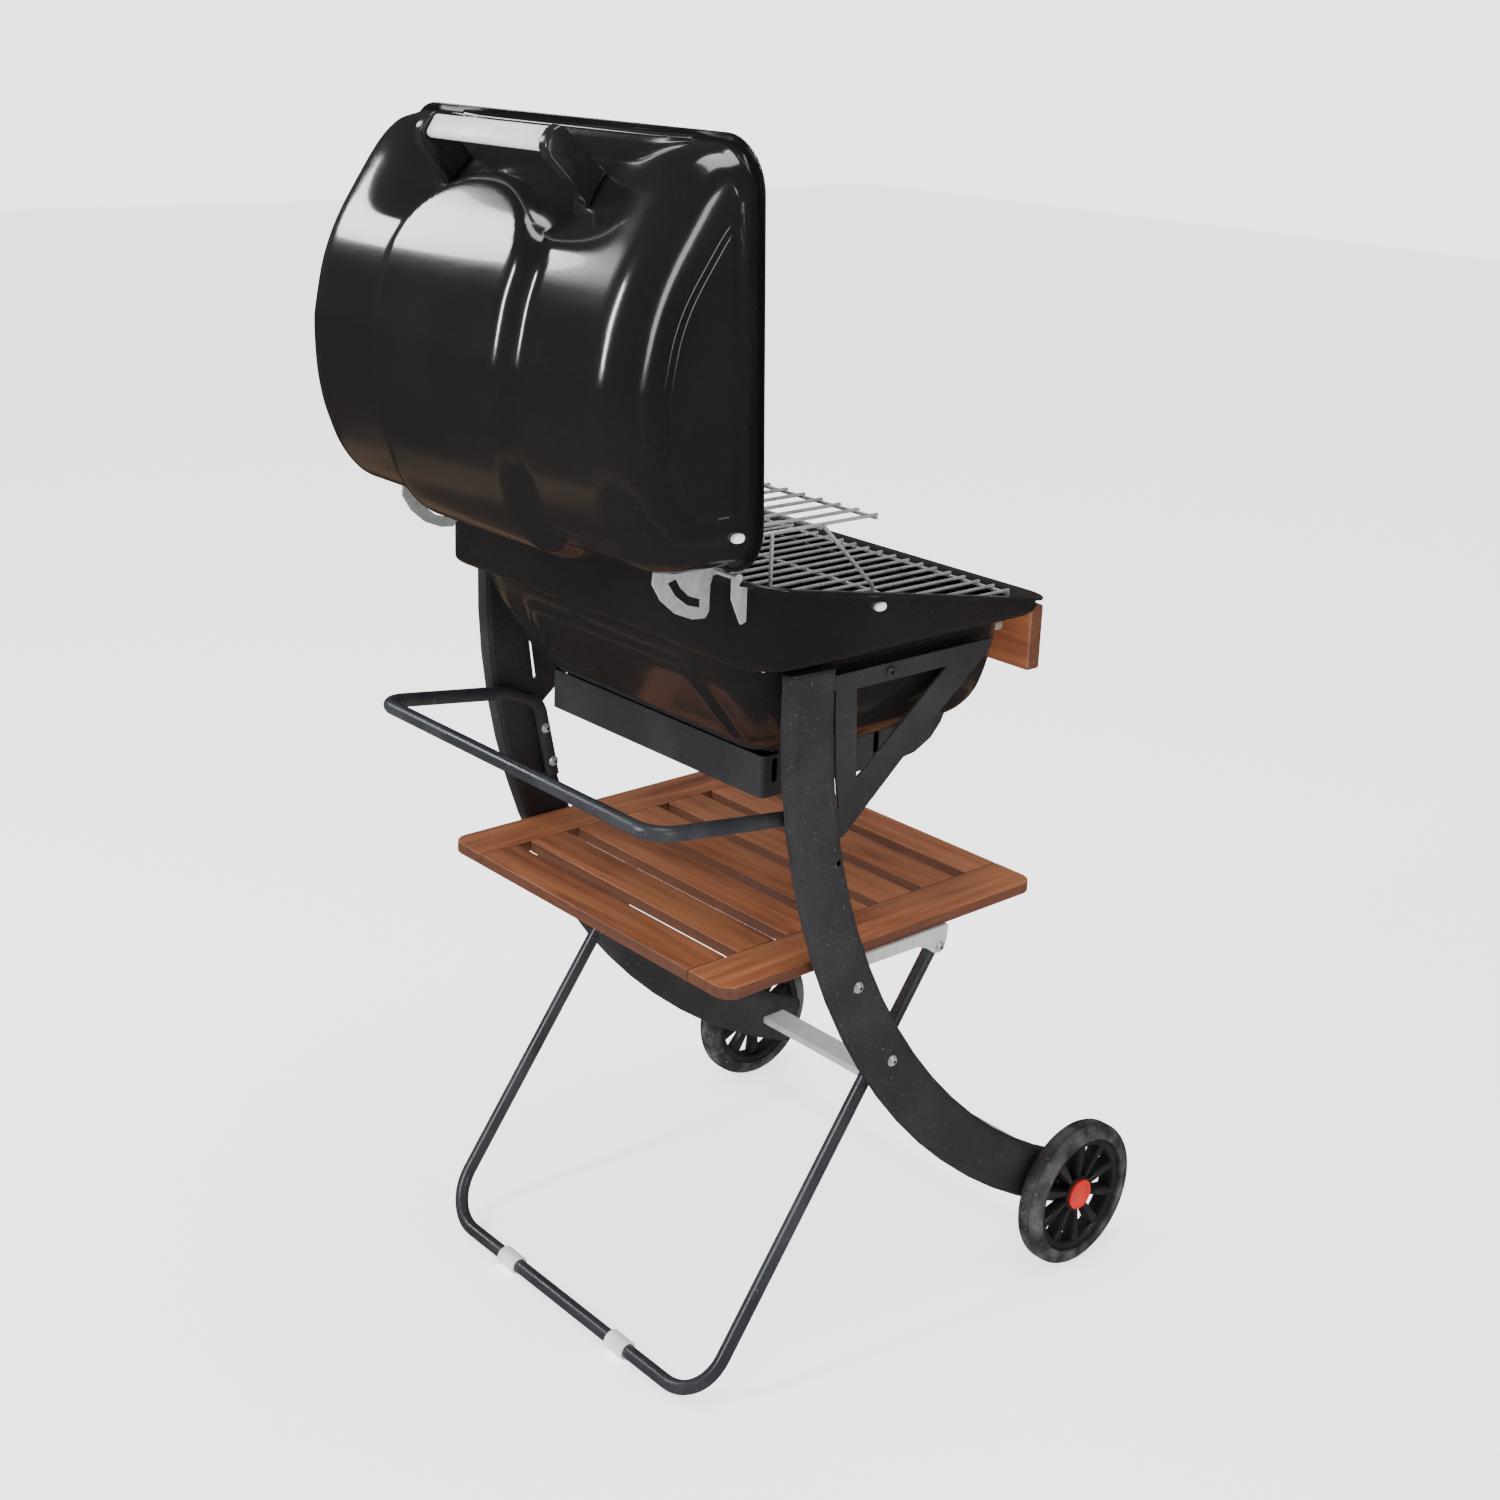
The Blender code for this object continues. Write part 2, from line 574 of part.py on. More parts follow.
def lid(look):
    """A thin half-barrel with flat ends, a proud middle panel and a narrow flange round its mouth."""
    stations = []
    for t in (90, 67.5, 45, 22.5, 0):
        a = radians(t)
        stations.append((-LID_WALL_X + LID_EDGE_RADIUS * (1 - sin(a)),
                         LID_EDGE_RADIUS * (1 - cos(a)), a))
    middle = (0.215, 0.190, 0.165, 0.145, LID_STEP_OUTER, 0.1225, 0.115, 0.1075, LID_STEP_INNER, 0.080,
              0.055, 0.028)
    stations += [(-x, 0.0, 0.0) for x in middle]
    stations += [(-x, inset, a) for x, inset, a in reversed(stations)]
    count = len(stations)

    bm = bmesh.new()

    def sheet(shrink, floor):
        rows = []
        for x, inset, a in stations:
            x_in = x - shrink * sin(a) * (1 if x > 0 else -1)
            rows.append([bm.verts.new(p) for p in lid_section(x_in, inset, shrink * cos(a), floor)])
        for near, far in zip(rows, rows[1:]):
            for i in range(len(near) - 1):
                bm.faces.new((near[i], near[i + 1], far[i + 1], far[i]))
        bm.faces.new(rows[0])
        bm.faces.new(rows[-1])
        return [row[0] for row in rows] + [row[-1] for row in reversed(rows)]

    outer = sheet(0.0, SHEET)
    inner = sheet(SHEET, 0.0)

    def flange(height):
        loop = []
        for k, (x, inset, a) in enumerate(stations + stations[::-1]):
            low = k < count
            s = (0.008 + inset) if low else (0.392 - inset)
            s += (-1 if low else 1) * FLANGE * cos(a)
            reach = x + FLANGE * sin(a) * (1 if x > 0 else -1)
            loop.append(bm.verts.new(lid_point(reach, s, height)))
        return loop

    top, bottom = flange(SHEET), flange(0.0)
    for a, b in ((outer, top), (top, bottom), (bottom, inner)):
        for i in range(len(a)):
            j = (i + 1) % len(a)
            bm.faces.new((a[i], a[j], b[j], b[i]))
    return make_object("lid", bm, look, 40)


HINGE_PLATE_X = 0.2130           # inner faces of the lid's hinge plates
HINGE_BRACKET_X = 0.2450
HINGE_EYE = 0.0046
HINGE_PIN_RADIUS = 0.0025
HINGE_SHEET = 0.003


def lid_hinge_plate(side, look):
    """A cam plate on the lid's rear wall, with the hinge eye and a curved opening."""
    rim_s, rim_h = -RIM_SETBACK, RIM_OFFSET
    outline = [(rim_s + HINGE_EYE * cos(radians(a)), rim_h + HINGE_EYE * sin(radians(a)))
               for a in (150, 180, 210, 240, 270, 300, 330, 355)]
    outline += [(0.0075, 0.006), (0.0075, 0.028), (0.0078, 0.054), (0.0100, 0.0745), (-0.004, 0.077),
                (-0.022, 0.067),
                (-0.038, 0.050), (-0.047, 0.031), (-0.049, 0.015), (-0.043, 0.010), (-0.030, 0.0095),
                (-0.018, 0.0085)]
    window = [(-0.006, 0.060), (-0.020, 0.051), (-0.032, 0.037), (-0.038, 0.020), (-0.030, 0.019),
              (-0.024, 0.033), (-0.014, 0.043), (-0.003, 0.049)]
    hole = circle(rim_s, rim_h, HINGE_PIN_RADIUS + GAP)
    x = HINGE_PLATE_X if side == RIGHT else -HINGE_PLATE_X - HINGE_SHEET
    return prism(side_name("lid_hinge_plate", side), [outline, window, hole],
                 lambda a, b, t: lid_point(x + t, a, b), look, HINGE_SHEET)


def hinge_bracket(side, look):
    """A lug on the bowl's rear wall that holds the hinge pin."""
    wall = bowl_rear_y() - FLANGE - 0.0015
    outline = [(HINGE_Y + HINGE_EYE * cos(radians(a)), HINGE_Z + HINGE_EYE * sin(radians(a)))
               for a in range(0, 181, 30)]
    outline += [(HINGE_Y - 0.0034, HINGE_Z - 0.004), (HINGE_Y - 0.0034, HINGE_Z - 0.009),
                (wall, HINGE_Z - 0.011), (wall, 0.878), (wall + 0.006, 0.876),
                (HINGE_Y + HINGE_EYE, 0.902)]
    hole = circle(HINGE_Y, HINGE_Z, HINGE_PIN_RADIUS + GAP)
    return side_plate("hinge_bracket", side, [outline, hole], HINGE_BRACKET_X, HINGE_SHEET, look)


def hinge_pin(side, look):
    inner, outer = HINGE_PLATE_X - 0.003, HINGE_BRACKET_X + HINGE_SHEET
    profile = [(side * inner, 0.0), (side * inner, HINGE_EYE), (side * (HINGE_PLATE_X - GAP), HINGE_EYE),
               (side * (HINGE_PLATE_X - GAP), HINGE_PIN_RADIUS), (side * (outer + GAP), HINGE_PIN_RADIUS),
               (side * (outer + GAP), HINGE_EYE), (side * (outer + 0.003), HINGE_EYE),
               (side * (outer + 0.003), 0.0)]
    return turned(side_name("hinge_pin", side), profile, (HINGE_Y, HINGE_Z), look, steps=16)


GRIP_HALF_X = 0.0935
GRIP_S, GRIP_H = 0.390, 0.094    # the grip's middle in the lid's section
HANDLE_FOOT = (18, 19, 20)       # the arms stand on these points of the profile
HANDLE_FOOT_X = (0.104, 0.111, 0.119)


def handle_support(side, look):
    """A flat curved arm that stands on the lid and carries one end of the grip."""
    base = []
    for i in HANDLE_FOOT:
        s, h = LID_PROFILE[i]
        n = lid_normal(i)
        out = max(lid_relief(x, s, h) for x in HANDLE_FOOT_X) + 0.0015
        base.append((s + n[0] * out, h + n[1] * out))
    foot_s = base[1][0]
    outline = base + [(0.3670, 0.0520), (0.3955, 0.0800), (0.4020, 0.0860), (0.4035, 0.0920),
                      (0.4000, 0.0990), (0.3910, 0.1065), (0.3830, 0.1085), (0.3750, 0.1055),
                      (0.3440, 0.0800)]

    def place(a, b, t):
        splay = 0.010 * max(0.0, GRIP_S - a) / (GRIP_S - foot_s)
        return lid_point(side * (GRIP_HALF_X + 2 * GAP + splay + t), a, b)

    return prism(side_name("handle_support", side), [outline], place, look, 0.014)


def handle_grip(look):
    """The flat bar between the two arms, tilted to suit the hand."""
    tilt = radians(-35)
    flat = rounded_rectangle(-0.012, 0.012, -0.0055, 0.0055, 0.005, 4)
    loop = [(GRIP_S + a * cos(tilt) - b * sin(tilt), GRIP_H + a * sin(tilt) + b * cos(tilt))
            for a, b in flat]
    return prism("handle_grip", [loop], lambda a, b, t: lid_point(-GRIP_HALF_X + t, a, b), look,
                 2 * GRIP_HALF_X)


# ---- grids ----------------------------------------------------------------------------------
def planes(first, last, bar, count):
    """Edges of count bars of one width, spread evenly from first to last."""
    pitch = (last - first - bar) / (count - 1)
    edges = []
    for i in range(count):
        edges += [first + i * pitch, first + i * pitch + bar]
    return edges


def wire_grid(name, half_x, y0, y1, x_count, y_count, z, bar, foot, look, foot_cells):
    """Bars both ways at one height, on four square feet that reach down by foot."""
    xs, ys = planes(-half_x, half_x, bar, x_count), planes(y0, y1, bar, y_count)
    i_feet = (2 * foot_cells[0], len(xs) - 2 - 2 * foot_cells[0])
    j_feet = (2 * foot_cells[1], len(ys) - 2 - 2 * foot_cells[1])

    def solid(i, j, k):
        if k == 0:
            return i in i_feet and j in j_feet
        return i % 2 == 0 or j % 2 == 0

    return grid(name, xs, ys, [z - bar - foot, z - bar, z], solid, look)


RACK_HALF_X = 0.242
RACK_FRONT_Y, RACK_REAR_Y = 0.0285, 0.183


def warming_rack(look):
    xs, ys = planes(-RACK_HALF_X, RACK_HALF_X, 0.004, 19), planes(RACK_FRONT_Y, RACK_REAR_Y, 0.004, 3)
    return grid("warming_rack", xs, ys, [WARMING_Z - 0.004, WARMING_Z],
                lambda i, j, k: i % 2 == 0 or j % 2 == 0, look)


def rack_leg(side, look):
    """A bent wire that props one end of the warming rack on the cooking grate."""
    x = side * (RACK_HALF_X + 0.002 + GAP)
    foot_z = COOKING_Z + 0.002 + GAP
    corners = [(x, 0.106, WARMING_Z - 0.002), (x, 0.034, 0.886), (x, 0.034, foot_z),
               (x, 0.172, foot_z), (x, 0.172, WARMING_Z - 0.002)]
    return tube(side_name("rack_leg", side), rounded_path(corners, 0.008, 4), 0.002, 0.0, look, 8)


# ---- shelf and swing leg --------------------------------------------------------------------
def shelf_slat(number, look):
    y = SHELF_FRONT_Y + (number - 1) * (SLAT_WIDTH + SLAT_GAP)
    loop = rounded_rectangle(y, y + SLAT_WIDTH, SHELF_TOP_Z - SHELF_THICK, SHELF_TOP_Z, 0.002, 2)
    return yz_plate(f"shelf_slat_{number}", [loop], -SLAT_HALF_LENGTH, 2 * SLAT_HALF_LENGTH, look)


def shelf_rail(side, look):
    """A board along Y on one side of the shelf, with round outer corners."""
    length = SLAT_COUNT * SLAT_WIDTH + (SLAT_COUNT - 1) * SLAT_GAP
    x0, x1 = SLAT_HALF_LENGTH + GAP, SLAT_HALF_LENGTH + RAIL_WIDTH
    y0, y1, r = SHELF_FRONT_Y, SHELF_FRONT_Y + length, 0.020
    loop = [(x0, y0)] + arc_points((x1 - r, y0 + r), r, -90, 0, 6)
    loop += arc_points((x1 - r, y1 - r), r, 0, 90, 6) + [(x0, y1)]
    loop = [(side * x, y) for x, y in loop]
    return prism(side_name("shelf_rail", side), [loop],
                 lambda a, b, t: (a, b, SHELF_TOP_Z - t), look, SHELF_THICK)


SHELF_BRACKET_X = 0.2479         # inner faces of the plates beside the legs
SHELF_BRACKET_SHEET = 0.0022


def shelf_bracket(side, look):
    """An angle under the shelf's side; its upright face holds the two pivot bolts."""
    top = SHELF_TOP_Z - SHELF_THICK - GAP
    outline = [(-0.106, 0.472), (-0.1045, 0.462), (-0.101, 0.4535), (-0.094, 0.4500),
               (-0.086, 0.4520), (-0.074, 0.4610), (-0.060, 0.4665), (0.026, 0.4675),
               (0.038, 0.4550), (0.044, 0.4510), (0.050, 0.4495), (0.056, 0.4510), (0.062, 0.4550),
               (0.076, 0.4690)]
    rings = []
    for y, low in outline:
        ring = [(SHELF_BRACKET_X - 0.024, top), (SHELF_BRACKET_X + SHELF_BRACKET_SHEET, top),
                (SHELF_BRACKET_X + SHELF_BRACKET_SHEET, low), (SHELF_BRACKET_X, low),
                (SHELF_BRACKET_X, top - SHELF_BRACKET_SHEET),
                (SHELF_BRACKET_X - 0.024, top - SHELF_BRACKET_SHEET)]
        rings.append([(side * x, y, z) for x, z in ring])
    plate = loft(side_name("shelf_bracket", side), rings, look)
    cut(plate, drill(side_name("shelf_bracket_holes", side), [SHELF_PIVOT, SWING_PIVOT],
                     BOLT_RADIUS + GAP, side, look))
    return plate


def swing_leg(look):
    """One tube bent into a U: two arms and the bar that stands on the floor."""
    x, foot_z = SWING_HALF_WIDTH, 0.0112
    end_z = SWING_PIVOT[1] + 0.008
    slope = (SWING_PIVOT[0] - SWING_FOOT_Y) / (SWING_PIVOT[1] - foot_z)
    end_y = SWING_PIVOT[0] + slope * (end_z - SWING_PIVOT[1])
    corners = [(-x, end_y, end_z), (-x, SWING_FOOT_Y, foot_z), (x, SWING_FOOT_Y, foot_z),
               (x, end_y, end_z)]
    leg = tube("swing_leg", rounded_path(corners, SWING_BEND_RADIUS, 6), TUBE_RADIUS, TUBE_WALL, look)
    cut(leg, drill("swing_leg_holes", [SWING_PIVOT], BOLT_RADIUS + GAP, 0, look))
    return leg


def foot_sleeve(side, look):
    """A plastic sleeve on the swing leg's floor bar."""
    x, half, inner = side * 0.103, 0.015, TUBE_RADIUS + GAP
    profile = [(x - half, inner), (x + half, inner), (x + half, 0.0102), (x + half - 0.001, 0.0112),
               (x - half + 0.001, 0.0112), (x - half, 0.0102)]
    return turned(side_name("foot_sleeve", side), profile, (SWING_FOOT_Y, 0.0112), look, 20)


# ---- wheels ---------------------------------------------------------------------------------
WHEEL_PLATE_X = 0.2810           # the moulded wheel, inside its tyre
WHEEL_PLATE = 0.0190
TYRE_INNER = 0.0715
HUB_RADIUS = 0.021
SPOKES = 10


def wheel(side, look):
    """A moulded wheel with ten spokes and a bore for the axle."""
    loops = [circle(AXLE_Y, WHEEL_RADIUS, TYRE_INNER - GAP, 50), circle(AXLE_Y, WHEEL_RADIUS,
                                                                        AXLE_RADIUS + GAP, 16)]
    for k in range(SPOKES):
        middle = 2 * pi * (k + 0.5) / SPOKES
        window = []
        for radius, half, order in ((HUB_RADIUS, 0.16, 1), (0.062, 0.25, -1)):
            angles = [middle + order * half * (2 * i / 4 - 1) for i in range(5)]
            window += [(AXLE_Y + radius * cos(a), WHEEL_RADIUS + radius * sin(a)) for a in angles]
        loops.append(window)
    return side_plate("wheel", side, loops, WHEEL_PLATE_X, WHEEL_PLATE, look)


def tyre(side, look):
    x0, x1 = WHEEL_OUTER_X - WHEEL_WIDTH, WHEEL_OUTER_X
    profile = [(x0 + 0.001, TYRE_INNER), (x0, 0.076), (x0 + 0.001, 0.083), (x0 + 0.005, 0.0875),
               (x0 + 0.010, WHEEL_RADIUS), (x1 - 0.010, WHEEL_RADIUS), (x1 - 0.005, 0.0875),
               (x1 - 0.001, 0.083), (x1, 0.076), (x1 - 0.001, TYRE_INNER)]
    return turned(side_name("tyre", side), [(side * x, r) for x, r in profile],
                  (AXLE_Y, WHEEL_RADIUS), look, 40)


def hub_cap(side, look):
    x = WHEEL_PLATE_X + WHEEL_PLATE + GAP
    profile = [(x, 0.0), (x, 0.0185), (x + 0.0035, 0.0180), (x + 0.0055, 0.0145), (x + 0.0065, 0.008),
               (x + 0.0068, 0.0)]
    return turned(side_name("hub_cap", side), [(side * a, r) for a, r in profile],
                  (AXLE_Y, WHEEL_RADIUS), look, 24)


def wheel_axle(look):
    reach = WHEEL_PLATE_X + WHEEL_PLATE - 0.0005
    profile = [(-reach, 0.0), (-reach, AXLE_RADIUS), (reach, AXLE_RADIUS), (reach, 0.0)]
    return turned("wheel_axle", profile, (AXLE_Y, WHEEL_RADIUS), look, 16)


def drill(name, centres, radius, side, look):
    """Cylinders along X, for holes; side 0 reaches both sides."""
    bm = bmesh.new()
    for y, z in centres:
        r = AXLE_RADIUS + GAP if (y, z) == (AXLE_Y, WHEEL_RADIUS) else radius
        spans = [(s * 0.2, s * 0.3) for s in ((side,) if side else (RIGHT, LEFT))]
        for x0, x1 in spans:
            rings = [[bm.verts.new((x, a, b)) for a, b in circle(y, z, r, 16)] for x in (x0, x1)]
            for i in range(16):
                j = (i + 1) % 16
                bm.faces.new((rings[0][i], rings[0][j], rings[1][j], rings[1][i]))
            bm.faces.new(rings[0][::-1])
            bm.faces.new(rings[1])
    return make_object(name, bm, look)


# ---- the grill ------------------------------------------------------------------------------
def build():
    for old in list(bpy.data.objects):
        bpy.data.objects.remove(old)
    powder = material("black_powder_coat", (0.025, 0.025, 0.028), 0.45)
    enamel = material("black_enamel", (0.012, 0.012, 0.014), 0.12)
    tube_paint = material("black_tube_paint", (0.03, 0.032, 0.036), 0.35)
    wood = material("oiled_hardwood", (0.33, 0.13, 0.055), 0.5)
    zinc = material("bright_zinc", (0.72, 0.72, 0.70), 0.28, 1.0)
    alloy = material("pale_aluminium", (0.70, 0.70, 0.71), 0.4, 1.0)
    plate = material("plated_wire", (0.62, 0.60, 0.57), 0.3, 1.0)
    black_plastic = material("black_plastic", (0.015, 0.015, 0.016), 0.3)
    white_plastic = material("white_plastic", (0.85, 0.85, 0.83), 0.4)
    red_plastic = material("red_plastic", (0.55, 0.02, 0.02), 0.35)
    rubber = material("tyre_rubber", (0.03, 0.03, 0.03), 0.75)
    grip_white = material("pale_grip", (0.80, 0.80, 0.78), 0.35)

    push_handle_tube = push_handle(tube_paint)
    cut(push_handle_tube, drill("push_handle_holes", [HANDLE_BOLT], BOLT_RADIUS + GAP, 0, zinc))
    axle_channel(alloy)
    wheel_axle(zinc)
    bowl(enamel)
    ash_box(powder)
    front_bar(wood)
    wire_grid("cooking_grate", 0.257, -0.160, 0.188, 25, 4, COOKING_Z, 0.004,
              COOKING_Z - 0.004 - LEDGE_Z + 0.0015, plate, (0, 1))
    wire_grid("charcoal_grate", 0.204, -0.120, 0.110, 15, 5, CHARCOAL_Z, 0.004,
              CHARCOAL_Z - 0.004 - TUB_BOTTOM_Z - SHEET - GAP, plate, (3, 1))
    warming_rack(plate)
    lid(enamel)
    handle_grip(grip_white)
    swing_leg(tube_paint)
    for number in range(1, SLAT_COUNT + 1):
        shelf_slat(number, wood)

    leg_outer = LEG_INNER_X + LEG_THICK + GAP
    for side in (LEFT, RIGHT):
        leg = side_leg(side, powder)
        holes = [SHELF_PIVOT, STOP_BOLT, HANDLE_BOLT, (AXLE_Y, WHEEL_RADIUS)]
        cut(leg, drill(side_name("side_leg_holes", side), holes, BOLT_RADIUS + GAP, side, zinc))
        leg_plug(side, black_plastic)
        bowl_bracket(side, powder)
        front_bar_bolt(side, zinc)
        hinge_bracket(side, zinc)
        hinge_pin(side, zinc)
        lid_hinge_plate(side, zinc)
        handle_support(side, black_plastic)
        rack_leg(side, plate)
        shelf_rail(side, wood)
        shelf_bracket(side, alloy)
        foot_sleeve(side, white_plastic)
        wheel(side, black_plastic)
        tyre(side, rubber)
        hub_cap(side, red_plastic)
        for base, (y, z), shank in (("shelf_bolt", SHELF_PIVOT, 0.0235),
                                    ("stop_bolt", STOP_BOLT, 0.0385)):
            bolt(side_name(base, side), side * leg_outer, y, z, side, BOLT_HEAD_HEIGHT, shank, zinc)
        bolt(side_name("handle_bolt", side), side * (LEG_INNER_X - 2 * TUBE_RADIUS - 2 * GAP), *HANDLE_BOLT,
             -side, BOLT_HEAD_HEIGHT, 0.0365, zinc)
        bolt(side_name("bowl_bolt", side), side * (BRACKET_X + BRACKET_SHEET + GAP), *BOWL_BOLT, side,
             BOLT_HEAD_HEIGHT, 0.0140, zinc)
        bolt(side_name("pivot_bolt", side), side * (SHELF_BRACKET_X + SHELF_BRACKET_SHEET + GAP),
             *SWING_PIVOT, side, PIVOT_HEAD_HEIGHT, 0.020, zinc)

    for obj in bpy.data.objects:
        obj.data.transform(Matrix.Translation((0.0, CENTRE_Y, 0.0)))


build()
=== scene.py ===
"""Looks for a rectangular charcoal grill with a half-barrel lid, on a folding cart with two wheels.

Metres, +Z up. The cook stands at -Y and the lid hinges at +Y.
"""
from math import cos, hypot, pi, radians, sin, sqrt, tan

import bmesh
import bpy
from mathutils import Matrix, Vector


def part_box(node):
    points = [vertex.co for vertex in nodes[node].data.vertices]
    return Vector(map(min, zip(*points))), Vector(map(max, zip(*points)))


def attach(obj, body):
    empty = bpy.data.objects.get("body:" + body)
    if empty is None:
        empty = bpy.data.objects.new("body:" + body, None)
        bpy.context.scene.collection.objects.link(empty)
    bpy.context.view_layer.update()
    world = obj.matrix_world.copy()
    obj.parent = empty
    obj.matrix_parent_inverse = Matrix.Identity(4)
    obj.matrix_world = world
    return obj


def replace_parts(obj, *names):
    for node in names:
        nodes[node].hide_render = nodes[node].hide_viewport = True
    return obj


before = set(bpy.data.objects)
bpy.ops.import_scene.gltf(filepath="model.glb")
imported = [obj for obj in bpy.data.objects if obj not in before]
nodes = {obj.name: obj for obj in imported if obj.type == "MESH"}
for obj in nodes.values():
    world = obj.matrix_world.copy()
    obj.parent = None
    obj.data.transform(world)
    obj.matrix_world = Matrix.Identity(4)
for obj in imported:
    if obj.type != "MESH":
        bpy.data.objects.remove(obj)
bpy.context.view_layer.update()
SIDES = (("left", -1), ("right", 1))


# ---- side legs and bowl brackets -------------------------------------------------------------
# Flat-oval steel tubes bent in one wide arc, and the sheet brackets beside them that carry the
# bowl. Both are powder coated in satin black, which has a fine orange peel and holds some dust.
def new_group(name, inputs, outputs):
    """A shader node group with named inputs and outputs, and its two end nodes."""
    group = bpy.data.node_groups.new(name, "ShaderNodeTree")
    for label, kind, value in inputs:
        socket = group.interface.new_socket(label, in_out="INPUT", socket_type=kind)
        socket.default_value = value
    for label, kind in outputs:
        group.interface.new_socket(label, in_out="OUTPUT", socket_type=kind)
    return group, group.nodes.new("NodeGroupInput"), group.nodes.new("NodeGroupOutput")


def add_node(tree, kind, settings=(), values=()):
    """A node with its settings and the default values of its sockets."""
    node = tree.nodes.new(kind)
    for key, value in dict(settings).items():
        setattr(node, key, value)
    for key, value in dict(values).items():
        node.inputs[key].default_value = value
    return node


def noise(tree, place, scale, detail=3.0, rough=0.5):
    node = add_node(tree, "ShaderNodeTexNoise", values={"Detail": detail, "Roughness": rough})
    tree.links.new(place, node.inputs["Vector"])
    if isinstance(scale, float):
        node.inputs["Scale"].default_value = scale
    else:
        tree.links.new(scale, node.inputs["Scale"])
    return node.outputs["Fac"]


def remap(tree, value, low, high, to_low, to_high):
    """Maps low..high onto to_low..to_high; any of the last two may be a socket."""
    node = add_node(tree, "ShaderNodeMapRange", values={"From Min": low, "From Max": high})
    tree.links.new(value, node.inputs["Value"])
    for label, target in (("To Min", to_low), ("To Max", to_high)):
        if isinstance(target, float):
            node.inputs[label].default_value = target
        else:
            tree.links.new(target, node.inputs[label])
    return node.outputs["Result"]


def mix_colour(tree, share, a, b):
    node = add_node(tree, "ShaderNodeMix", {"data_type": "RGBA", "blend_type": "MIX"})
    tree.links.new(share, node.inputs[0])
    for socket, colour in ((node.inputs[6], a), (node.inputs[7], b)):
        if isinstance(colour, tuple):
            socket.default_value = (*colour, 1.0)
        else:
            tree.links.new(colour, socket)
    return node.outputs[2]


worn, given, result = new_group(
    "worn_finish",
    [("Colour", "NodeSocketColor", (0, 0, 0, 1)), ("Rubbed colour", "NodeSocketColor", (0, 0, 0, 1)),
     ("Dust colour", "NodeSocketColor", (0.3, 0.29, 0.27, 1)), ("Dust", "NodeSocketFloat", 0.1),
     ("Patch scale", "NodeSocketFloat", 8.0), ("Smooth", "NodeSocketFloat", 0.2),
     ("Rough", "NodeSocketFloat", 0.4), ("Grain scale", "NodeSocketFloat", 600.0)],
    [("Colour", "NodeSocketColor"), ("Roughness", "NodeSocketFloat"), ("Height", "NodeSocketFloat")])
spot = worn.nodes.new("ShaderNodeTexCoord").outputs["Object"]
patches = noise(worn, spot, given.outputs["Patch scale"], 4.0)
rubbed = remap(worn, patches, 0.42, 0.68, 0.0, 1.0)
specks = remap(worn, noise(worn, spot, 420.0, 2.0), 0.66, 0.74, 0.0, given.outputs["Dust"])
body_colour = mix_colour(worn, rubbed, given.outputs["Colour"], given.outputs["Rubbed colour"])
worn.links.new(mix_colour(worn, specks, body_colour, given.outputs["Dust colour"]),
               result.inputs["Colour"])
worn.links.new(remap(worn, patches, 0.3, 0.7, given.outputs["Smooth"], given.outputs["Rough"]),
               result.inputs["Roughness"])
worn.links.new(noise(worn, spot, given.outputs["Grain scale"], 2.0), result.inputs["Height"])


def finish(name, colour, rubbed, smooth, rough, patch, grain, depth, dust=0.0, metallic=0.0):
    """A worn finish: two colours and two glosses in patches, over a grain that is depth metres deep."""
    look = bpy.data.materials.new(name)
    look.use_nodes = True
    tree = look.node_tree
    shader = tree.nodes["Principled BSDF"]
    shader.inputs["Metallic"].default_value = metallic
    group = add_node(tree, "ShaderNodeGroup", {"node_tree": worn}, {
        "Colour": (*colour, 1.0), "Rubbed colour": (*rubbed, 1.0), "Dust": dust, "Patch scale": patch,
        "Smooth": smooth, "Rough": rough, "Grain scale": grain})
    bump = add_node(tree, "ShaderNodeBump", values={"Strength": 1.0, "Distance": depth})
    tree.links.new(group.outputs["Colour"], shader.inputs["Base Color"])
    tree.links.new(group.outputs["Roughness"], shader.inputs["Roughness"])
    tree.links.new(group.outputs["Height"], bump.inputs["Height"])
    tree.links.new(bump.outputs["Normal"], shader.inputs["Normal"])
    return look


powder_coat = finish("satin_powder_coat", (0.016, 0.016, 0.018), (0.024, 0.024, 0.026), 0.40, 0.54,
                     9.0, 900.0, 0.00012, dust=0.25)


def dress(node, look):
    """Gives a CAD node a better material."""
    for slot in nodes[node].material_slots:
        slot.material = look


for label, side in SIDES:
    dress(f"side_leg_{label}", powder_coat)
    dress(f"bowl_bracket_{label}", powder_coat)


# ---- leg plugs -------------------------------------------------------------------------------
# Pressed-in plastic plugs that close the legs' top and bottom ends, moulded in black with a
# domed face and a soft edge.
black_plastic = finish("moulded_black_plastic", (0.011, 0.011, 0.012), (0.018, 0.018, 0.019), 0.26,
                       0.38, 25.0, 1500.0, 0.00003, dust=0.15)
SHIFT_Y = (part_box("wheel_axle")[0].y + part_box("wheel_axle")[1].y) / 2 + 0.315
LEG_INNER_X, LEG_THICK, LEG_WIDTH = 0.2505, 0.020, 0.064
LEG_ARC_CENTRE, LEG_ARC_RADIUS = (-0.641 + SHIFT_Y, 0.795), 0.7725
LEG_TOP_ANGLE, LEG_FOOT_ANGLE, PLUG_HEIGHT = radians(1.6), radians(-68.2), 0.003
TOUCH = 0.0004


